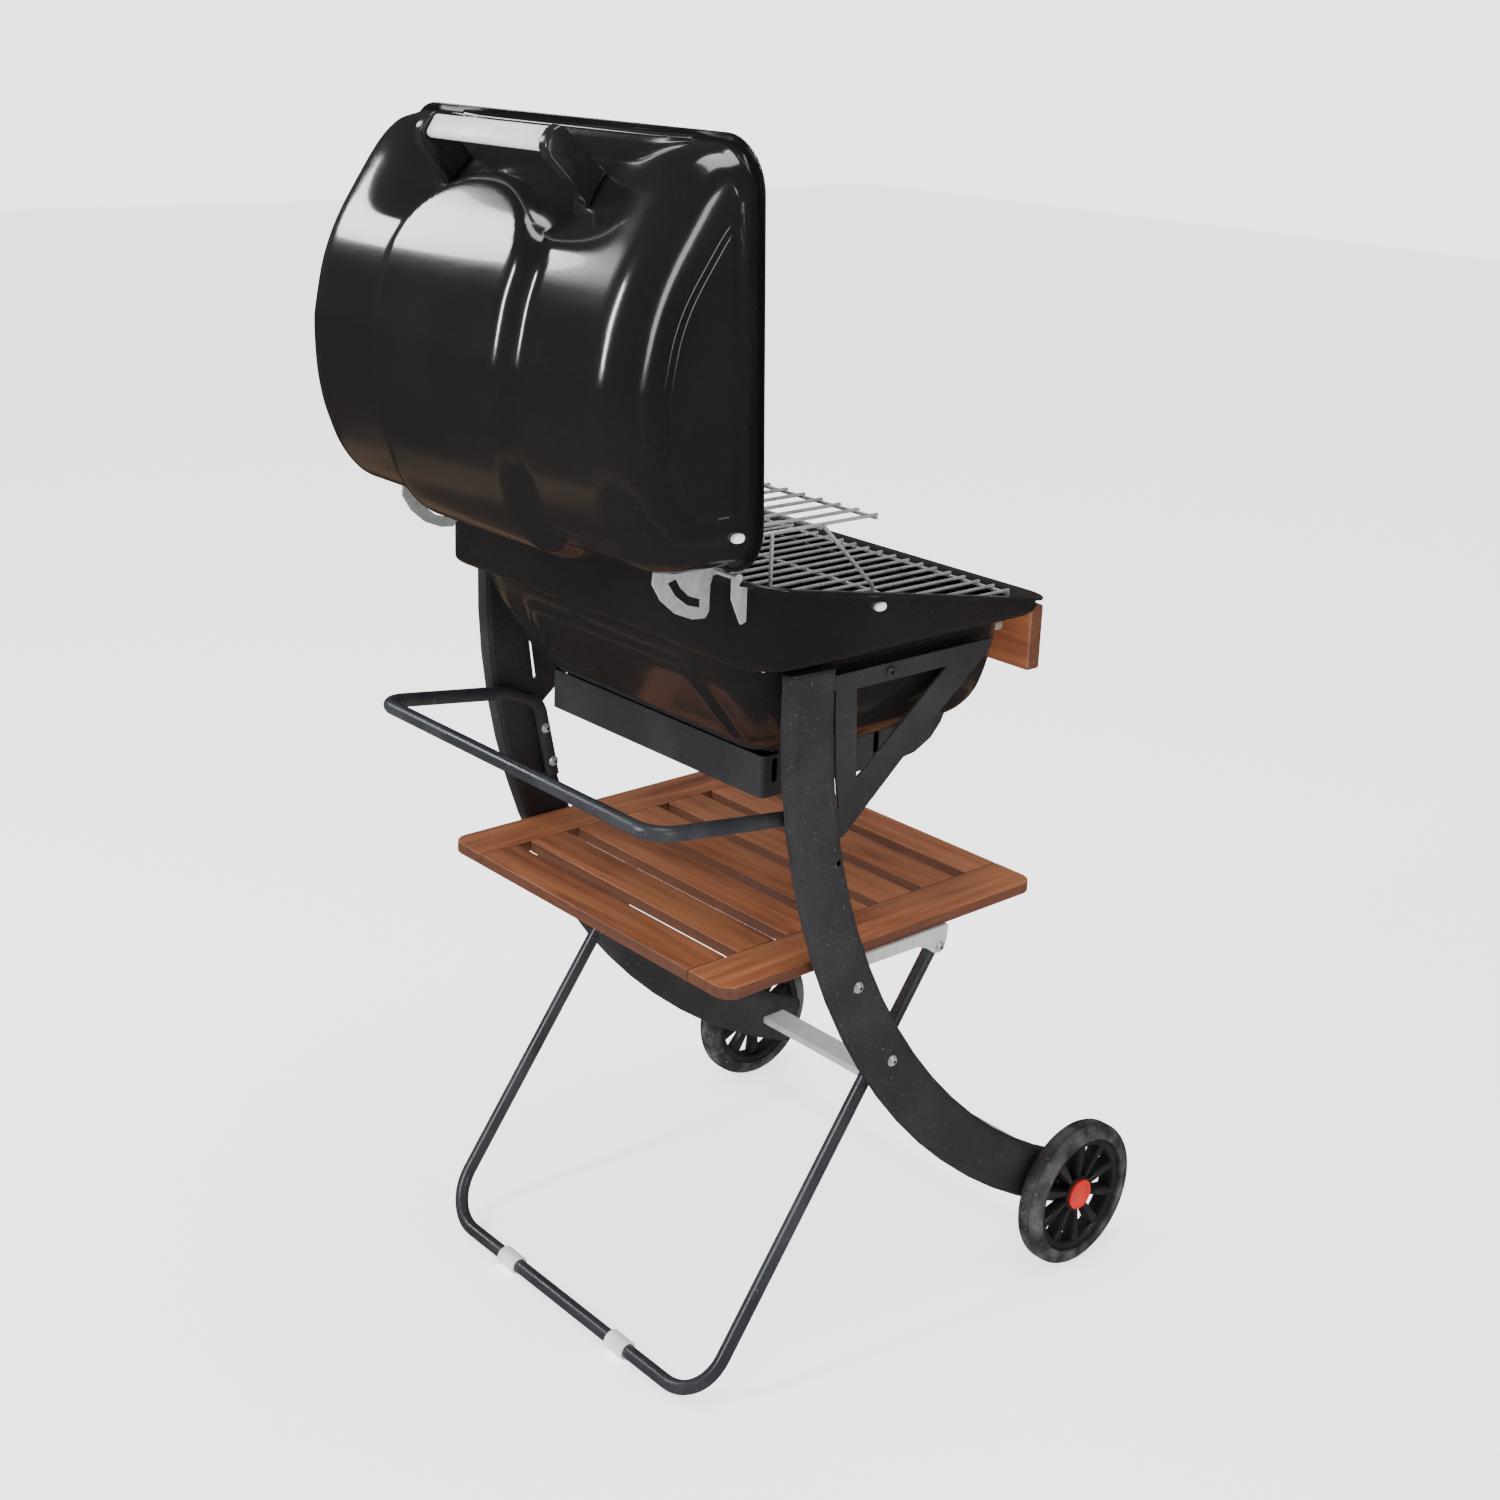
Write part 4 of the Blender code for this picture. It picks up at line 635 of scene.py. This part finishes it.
bm = bmesh.new()
ring_size = 4 * CORNER_STEPS + 2 * SIDE_STEPS + 2 * END_STEPS
bmesh.ops.create_grid(bm, x_segments=ring_size, y_segments=len(rings) - 1, size=1.0)
for v in bm.verts:
    half_x, y0, y1, radius, height = rings[round((v.co.y + 1) / 2 * (len(rings) - 1))]
    x, y = round_box_point(round((v.co.x + 1) / 2 * ring_size) % ring_size, half_x, y0, y1, radius)
    v.co = Vector((x, y, height(y)))
bmesh.ops.remove_doubles(bm, verts=bm.verts[:], dist=0.00001)
lowest = [e for e in bm.edges if e.is_boundary and e.verts[0].co.z < TUB_BOTTOM_Z + 0.001]
bmesh.ops.contextual_create(bm, geom=lowest)
bmesh.ops.recalc_face_normals(bm, faces=bm.faces[:])
if max(bm.faces, key=lambda f: f.calc_center_median().x).normal.x < 0:
    bmesh.ops.reverse_faces(bm, faces=bm.faces[:])


def ease(value, start, end):
    """0 at start, 1 at end, with soft ends."""
    t = min(1.0, max(0.0, (value - start) / (end - start)))
    return t * t * (3 - 2 * t)


REAR_PANEL_HEIGHT = 0.0045
for v in bm.verts:
    if v.co.y > 0.10 + SHIFT_Y and v.co.z < 0.822:
        wide = 0.125 + 0.4 * (0.820 - v.co.z)
        across = ease(abs(v.co.x), wide + 0.010, wide - 0.004)
        v.co.y += REAR_PANEL_HEIGHT * across * ease(v.co.z, 0.806, 0.796) * ease(v.co.z, 0.712, 0.722)
bowl = place_piece("enamelled_bowl", bm, enamel, "frame", ["bowl"], 60)
wall = bowl.modifiers.new("sheet", "SOLIDIFY")
wall.thickness, wall.offset = SHEET, -1.0


# ---- ash box ---------------------------------------------------------------------------------
# A powder-coated sheet box screwed under the belly, with a rolled front and four round-ended
# vent slots cut in each side.
dress("ash_box", powder_coat)


# ---- lid -------------------------------------------------------------------------------------
# A half-barrel pressed from one steel sheet and enamelled like the bowl: a proud middle panel, a
# hollow for the handle, flat ends with a raised border, a bead and a flange round the mouth.
LID_LEAN = radians(2.4)
LID_PROFILE = [(0.008, 0.0), (0.0080, 0.025), (0.0085, 0.055), (0.0115, 0.082), (0.0210, 0.1055),
               (0.0370, 0.1220), (0.0587, 0.1355), (0.081, 0.1440), (0.103, 0.1505), (0.130, 0.1550),
               (0.157, 0.1565), (0.185, 0.1560), (0.2027, 0.1537), (0.2418, 0.1440), (0.266, 0.1350),
               (0.286, 0.1250), (0.306, 0.1125), (0.324, 0.0995), (0.342, 0.0860), (0.358, 0.0735),
               (0.375, 0.0575), (0.387, 0.0400), (0.3915, 0.0200), (0.392, 0.0)]
PANEL_HEIGHT, PANEL_INNER, PANEL_OUTER = 0.0150, 0.100, 0.130
PANEL_FROM_S, PANEL_TO_S = 0.270, 0.352
HOLLOW_DEPTH, SHOULDER = 0.021, 0.042
LID_WALL_X, LID_SHEET = RIM_HALF_X - FLANGE, 0.0014


def lid_point(x, s, h):
    """A point of the open lid: s along its rim from the hinge edge, h out from the rim plane."""
    return Vector((x, HINGE_Y + (s + RIM_SETBACK) * sin(LID_LEAN) + (h - RIM_OFFSET) * cos(LID_LEAN),
                   HINGE_Z + (s + RIM_SETBACK) * cos(LID_LEAN) - (h - RIM_OFFSET) * sin(LID_LEAN)))


def lid_relief(x, s, h):
    """How far the pressed shape stands out from the plain barrel."""
    arch = min(1.0, max(0.0, (s - PANEL_FROM_S) / (PANEL_TO_S - PANEL_FROM_S)))
    edge = PANEL_OUTER * sqrt(1.0 - arch * arch)
    panel = PANEL_HEIGHT * ease(abs(x), edge, edge - PANEL_OUTER + PANEL_INNER) * min(1.0, h / 0.06)
    start = 0.335 - 0.038 * min(1.0, abs(x) / 0.11) ** 2
    hollow = ease(s, start, start + 0.042) * ease(abs(x), 0.225, 0.115) * min(1.0, h / 0.032)
    return panel - HOLLOW_DEPTH * hollow


profile = smooth_line(LID_PROFILE, 6)
profile = [(max(0.0, s), max(0.0, h)) for s, h in profile]
SHOULDER_STEPS, MIDDLE_STEPS = 10, 72
shoulders = [(-LID_WALL_X + SHOULDER * (1 - sin(a)), SHOULDER * (1 - cos(a)), a)
             for a in (radians(90 - 90 * k / SHOULDER_STEPS) for k in range(SHOULDER_STEPS + 1))]
flat_to = shoulders[-1][0]
middle_step = -2 * flat_to / MIDDLE_STEPS
stations = shoulders + [(flat_to + middle_step * k, 0.0, 0.0) for k in range(1, MIDDLE_STEPS)]
stations += [(-x, inset, a) for x, inset, a in reversed(shoulders)]
rows = len(profile) - 1


def profile_normal(i):
    if i in (0, rows):
        return (-1.0, 0.0) if i == 0 else (1.0, 0.0)
    ds, dh = profile[i + 1][0] - profile[i - 1][0], profile[i + 1][1] - profile[i - 1][1]
    return (-dh / hypot(ds, dh), ds / hypot(ds, dh))


BEAD, END_PANEL, LEAN_IN = 0.0011, 0.0040, 0.022 / 0.15
end_verts, heights = ([], []), {}
bm = bmesh.new()
bmesh.ops.create_grid(bm, x_segments=len(stations) - 1, y_segments=rows, size=1.0)
for v in bm.verts:
    i = round((v.co.y + 1) / 2 * rows)
    column = round((v.co.x + 1) / 2 * (len(stations) - 1))
    x, inset, a = stations[column]
    s, h = profile[i]
    n = profile_normal(i)
    bead = BEAD * ease(h, 0.009, 0.013) * ease(h, 0.021, 0.017)
    out = lid_relief(x, s, h) - inset + bead * cos(a)
    v.co = lid_point(x * (1.0 - LEAN_IN * h), s + n[0] * out, max(LID_SHEET, h + n[1] * out))
    if column in (0, len(stations) - 1):
        end_verts[0 if column == 0 else 1].append(v)

END_SHARES = [1.0 - 0.015 * k for k in range(11)] + [0.82, 0.78] + [0.1 * k for k in range(7, -1, -1)]
for verts, end in zip(end_verts, (-1, 1)):
    centre = lid_point(end * LID_WALL_X, RIM_LENGTH / 2, LID_SHEET)
    ring = set(verts)
    edges = [e for e in bm.edges if e.is_boundary and e.verts[0] in ring and e.verts[1] in ring]
    for before, share in zip(END_SHARES, END_SHARES[1:]):
        grown = bmesh.ops.extrude_edge_only(bm, edges=edges)["geom"]
        edges = only(bmesh.types.BMEdge, grown)
        for v in only(bmesh.types.BMVert, grown):
            v.co = centre + (v.co - centre) * (share / before)
            heights[v] = (end, share)
for v, (end, share) in heights.items():
    height = (v.co.y - HINGE_Y) * cos(LID_LEAN) - (v.co.z - HINGE_Z) * sin(LID_LEAN) + RIM_OFFSET
    border = ease(share, 0.915, 0.875) * ease(height, 0.026, 0.034)
    bead = ease(height, 0.009, 0.012) * ease(height, 0.021, 0.018) * ease(share, 1.0, 0.97)
    v.co.x += end * (END_PANEL * border + BEAD * bead)
bmesh.ops.remove_doubles(bm, verts=bm.verts[:], dist=0.00001)
bmesh.ops.recalc_face_normals(bm, faces=bm.faces[:])
if max(bm.faces, key=lambda f: f.calc_center_median().y).normal.y < 0:
    bmesh.ops.reverse_faces(bm, faces=bm.faces[:])
rim_edges = [e for e in bm.edges if e.is_boundary]
flange = bmesh.ops.extrude_edge_only(bm, edges=rim_edges)["geom"]
MIDDLE_S = RIM_LENGTH / 2


def rim_direction(place):
    """Outward direction in the rim plane at a point of the lid's mouth."""
    s = (place.z - HINGE_Z) * cos(LID_LEAN) + (place.y - HINGE_Y) * sin(LID_LEAN) - RIM_SETBACK
    from_x = abs(place.x) - (LID_WALL_X - SHOULDER)
    from_s = abs(s - MIDDLE_S) - (MIDDLE_S - FLANGE - SHOULDER)
    dx, ds = max(0.0, from_x), max(0.0, from_s)
    size = hypot(dx, ds) or 1.0
    dx, ds = dx / size * (1 if place.x > 0 else -1), ds / size * (1 if s > MIDDLE_S else -1)
    return Vector((dx, ds * sin(LID_LEAN), ds * cos(LID_LEAN)))


ROLL_OUT, ROLL_UP = 0.0008, 0.0012
for v in only(bmesh.types.BMVert, flange):
    v.co += rim_direction(v.co) * (FLANGE - ROLL_OUT - 0.0001)
rolled = bmesh.ops.extrude_edge_only(bm, edges=only(bmesh.types.BMEdge, flange))["geom"]
for v in only(bmesh.types.BMVert, rolled):
    v.co += rim_direction(v.co) * ROLL_OUT + Vector((0.0, cos(LID_LEAN), -sin(LID_LEAN))) * ROLL_UP
lid = place_piece("enamelled_lid", bm, enamel, "lid", ["lid"], 60)
wall = lid.modifiers.new("sheet", "SOLIDIFY")
wall.thickness, wall.offset = LID_SHEET, -1.0


# ---- vent caps -------------------------------------------------------------------------------
# Small white plastic pills pressed into the holes at the ends of the lid and of the bowl's band.
def pill(name, centre, size, body):
    bm = bmesh.new()
    bmesh.ops.create_cube(bm, size=1.0)
    for v in bm.verts:
        v.co = Vector(centre) + Vector(v.co[i] * size[i] for i in range(3))
    along_x = [e for e in bm.edges if abs(e.verts[0].co.x - e.verts[1].co.x) > 1e-4]
    soften(bm, along_x, size[2] * 0.49, 6)
    soften(bm, [e for e in bm.edges if e.calc_face_angle(0.0) > radians(50)], size[0] * 0.3, 3)
    return place_piece(name, bm, white_plastic, body)


CAP_SIZE = (0.006, 0.0135, 0.0085)
for label, side in SIDES:
    pill(f"lid_cap_{label}", (side * 0.2755, 0.2425 + SHIFT_Y, 0.970), CAP_SIZE, "lid")
    pill(f"bowl_cap_{label}", (side * 0.2765, 0.0543 + SHIFT_Y, 0.8755), CAP_SIZE, "frame")


# ---- lid handle ------------------------------------------------------------------------------
# Two thick arms moulded in glossy black plastic stand on the lid and hold a plain pale bar,
# rounded for the hand.
gloss_plastic = finish("gloss_black_plastic", (0.010, 0.010, 0.011), (0.014, 0.014, 0.015), 0.14,
                       0.24, 30.0, 900.0, 0.00002, dust=0.1)
pale_grip = finish("pale_grip", (0.62, 0.63, 0.64), (0.54, 0.55, 0.56), 0.30, 0.42, 30.0, 900.0,
                   0.00004, dust=0.2)


def rounded_copy(name, node, look, body, width, segments, sharp=35):
    """A CAD node's solid with its long edges rounded."""
    bm = bmesh.new()
    bm.from_mesh(nodes[node].data)
    bmesh.ops.remove_doubles(bm, verts=bm.verts[:], dist=0.00001)
    bmesh.ops.dissolve_limit(bm, angle_limit=radians(1.0), verts=bm.verts[:], edges=bm.edges[:])
    edges = [e for e in bm.edges if e.calc_face_angle(0.0) > radians(sharp)]
    soften(bm, edges, width, segments)
    bmesh.ops.recalc_face_normals(bm, faces=bm.faces[:])
    return place_piece(name, bm, look, body, [node], 40)


for label, side in SIDES:
    rounded_copy(f"handle_arm_{label}", f"handle_support_{label}", gloss_plastic, "lid", 0.0035, 4,
                 60)
rounded_copy("handle_bar", "handle_grip", pale_grip, "lid", 0.0012, 3, 60)


# ---- hinges ----------------------------------------------------------------------------------
# Cam plates stamped from zinc-plated sheet and screwed to the lid, the lugs on the bowl that
# they turn in, and the long pin through both.
for label, side in SIDES:
    for node, body in ((f"lid_hinge_plate_{label}", "lid"), (f"hinge_bracket_{label}", "frame")):
        dress(node, zinc)
    dress(f"hinge_pin_{label}", zinc)


# ---- grates ----------------------------------------------------------------------------------
# Straight plated steel rods, welded where they cross: the cooking grate, the charcoal grate below
# it and the raised warming rack on its two bent legs.
plated = finish("plated_wire", (0.72, 0.72, 0.72), (0.50, 0.48, 0.46), 0.22, 0.40, 60.0, 500.0,
                0.00005, dust=0.3, metallic=0.7)


def rod(bm, start, end, radius, sides=10):
    """A straight rod with eased ends between two points."""
    start, end = Vector(start), Vector(end)
    way = end - start
    turn = way.to_track_quat("Z", "Y").to_matrix().to_4x4()
    made = bmesh.ops.create_cone(bm, cap_ends=True, segments=sides, radius1=radius, radius2=radius,
                                 depth=way.length,
                                 matrix=Matrix.Translation((start + end) / 2) @ turn)["verts"]
    rims = {e for v in made for e in v.link_edges if e.calc_face_angle(0.0) > radians(60)}
    soften(bm, list(rims), radius * 0.35, 2)


def spread(first, last, count):
    return [first + (last - first) * k / (count - 1) for k in range(count)]


ROD_RADIUS = 0.002


def rod_grate(name, node, rods, crossings, drop, foot_x=None, foot_y=None):
    """Rods along Y at the node's top, on cross rods along X; four feet stand in from its corners."""
    low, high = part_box(node)
    top = high.z - ROD_RADIUS
    bm = bmesh.new()
    for x in spread(low.x + ROD_RADIUS, high.x - ROD_RADIUS, rods):
        rod(bm, (x, low.y, top), (x, high.y, top), ROD_RADIUS)
    for y in spread(low.y + ROD_RADIUS, high.y - ROD_RADIUS, crossings):
        rod(bm, (low.x, y, top - drop), (high.x, y, top - drop), ROD_RADIUS)
    if foot_x:
        for y in (low.y + foot_y, high.y - foot_y):
            for x in (low.x + foot_x, high.x - foot_x):
                rod(bm, (x, y, low.z), (x, y, top), ROD_RADIUS)
    place_piece(name, bm, plated, node, [node], 50)


rod_grate("cooking_rods", "cooking_grate", 25, 4, 0.0036, ROD_RADIUS, ROD_RADIUS)
rod_grate("charcoal_rods", "charcoal_grate", 15, 5, 0.0036, 0.090, 0.032)
rod_grate("warming_rods", "warming_rack", 19, 3, 0.0030)

RACK_LEG_X, RACK_FOOT_Z, RACK_Z, RACK_BEND = 0.2444, 0.8584, 0.9575, 0.008
rack_leg = [(0.106, RACK_Z), (0.034, 0.886), (0.034, RACK_FOOT_Z), (0.172, RACK_FOOT_Z), (0.172, RACK_Z)]
for label, side in SIDES:
    line = [(side * RACK_LEG_X, y + SHIFT_Y, z) for y, z in rack_leg]
    bent_tube(f"rack_wire_{label}", bent_path(line, RACK_BEND, 8), ROD_RADIUS, plated, "warming_rack",
              [f"rack_leg_{label}"], 3)


# ---- floor, light and camera -----------------------------------------------------------------
# A plain pale floor, one broad overhead softbox, tall strip lights that draw long soft lines on
# the enamel, and a dim even surround.
bm = bmesh.new()
bmesh.ops.create_grid(bm, x_segments=1, y_segments=1, size=12.0)
floor_mesh = bpy.data.meshes.new("floor")
bm.to_mesh(floor_mesh)
bm.free()
floor = bpy.data.objects.new("floor", floor_mesh)
bpy.context.scene.collection.objects.link(floor)
floor_look = bpy.data.materials.new("pale_floor")
floor_look.use_nodes = True
for label, value in (("Base Color", (0.88, 0.88, 0.88, 1)), ("Emission Color", (1.0, 1.0, 1.0, 1)),
                     ("Emission Strength", 1.6), ("Roughness", 0.9), ("Specular IOR Level", 0.1)):
    floor_look.node_tree.nodes["Principled BSDF"].inputs[label].default_value = value
floor_mesh.materials.append(floor_look)

world = bpy.data.worlds.new("studio")
bpy.context.scene.world = world
world.use_nodes = True
sky = world.node_tree
height = sky.nodes.new("ShaderNodeSeparateXYZ")
sky.links.new(sky.nodes.new("ShaderNodeTexCoord").outputs["Generated"], height.inputs[0])
room = sky.nodes.new("ShaderNodeValToRGB")
sky.links.new(remap(sky, height.outputs["Z"], -1.0, 1.0, 0.0, 1.0), room.inputs["Fac"])
ground, ceiling = room.color_ramp.elements
ground.position, ground.color = 0.30, (0.050, 0.034, 0.024, 1)
ceiling.position, ceiling.color = 0.62, (0.045, 0.048, 0.055, 1)
for place, colour in ((0.215, (0.035, 0.024, 0.018)), (0.228, (0.30, 0.20, 0.12)),
                      (0.245, (0.24, 0.16, 0.10)), (0.262, (0.045, 0.034, 0.026)),
                      (0.47, (0.040, 0.032, 0.026)), (0.53, (0.075, 0.070, 0.066))):
    step = room.color_ramp.elements.new(place)
    step.color = (*colour, 1.0)
ray = sky.nodes.new("ShaderNodeLightPath")
around = mix_colour(sky, ray.outputs["Is Glossy Ray"], (1.0, 1.0, 1.0), room.outputs["Color"])
sky.links.new(mix_colour(sky, ray.outputs["Is Camera Ray"], around, (3.0, 3.0, 3.0)),
              sky.nodes["Background"].inputs["Color"])
floor.visible_glossy = False


def softbox(name, place, aim, size, power, tint=(1.0, 1.0, 1.0)):
    light = bpy.data.lights.new(name, "AREA")
    light.shape, light.size, light.size_y = "RECTANGLE", *size
    light.energy, light.color = power, tint
    lamp = bpy.data.objects.new(name, light)
    bpy.context.scene.collection.objects.link(lamp)
    lamp.location = place
    lamp.rotation_euler = (Vector(aim) - Vector(place)).to_track_quat("-Z", "Y").to_euler()
    return lamp


TUBE_LAMP_SPACING = 0.16
softbox("overhead", (-0.4, 0.0, 3.2), (0.0, 0.0, 0.6), (1.4, 1.4), 45)
glow = softbox("window_glow", (2.6, 1.45, 2.4), (0.0, 0.35, 1.15), (0.80, 0.80), 30, (0.94, 0.97, 1.0))
glow.data.shape = "DISK"
for tube_lamp in range(3):
    across = Vector((-0.62, 0.78, 0.0)) * (TUBE_LAMP_SPACING * tube_lamp)
    softbox(f"tube_lamp_{tube_lamp}", Vector((0.6, 3.0, 2.2)) + across, (0.0, 0.3, 1.1), (0.05, 1.5), 26,
            (0.92, 0.96, 1.0))
softbox("side_fill", (-3.2, 0.2, 1.7), (0.0, 0.1, 0.9), (0.5, 1.6), 22, (1.0, 0.97, 0.93))

CAMERA_PLACE = Vector((-1.6397, 1.4393 + SHIFT_Y, 1.4261))
view_turn, pitch, roll = radians(227.28), radians(16.35), radians(2.4)
look_way = Vector((-sin(view_turn) * cos(pitch), cos(view_turn) * cos(pitch), -sin(pitch)))
right = Vector((cos(view_turn), sin(view_turn), 0.0))
up = right.cross(look_way)
right, up = cos(roll) * right + sin(roll) * up, -sin(roll) * right + cos(roll) * up
camera_data = bpy.data.cameras.new("camera")
camera = bpy.data.objects.new("camera", camera_data)
bpy.context.scene.collection.objects.link(camera)
turned = Matrix((right, up, -look_way)).transposed().to_4x4()
camera.matrix_world = Matrix.Translation(CAMERA_PLACE) @ turned
camera_data.sensor_width, camera_data.lens = 36.0, 49.31
camera_data.shift_x, camera_data.shift_y = -0.0234, -0.0861
camera_data.clip_start = 0.05
bpy.context.scene.camera = camera
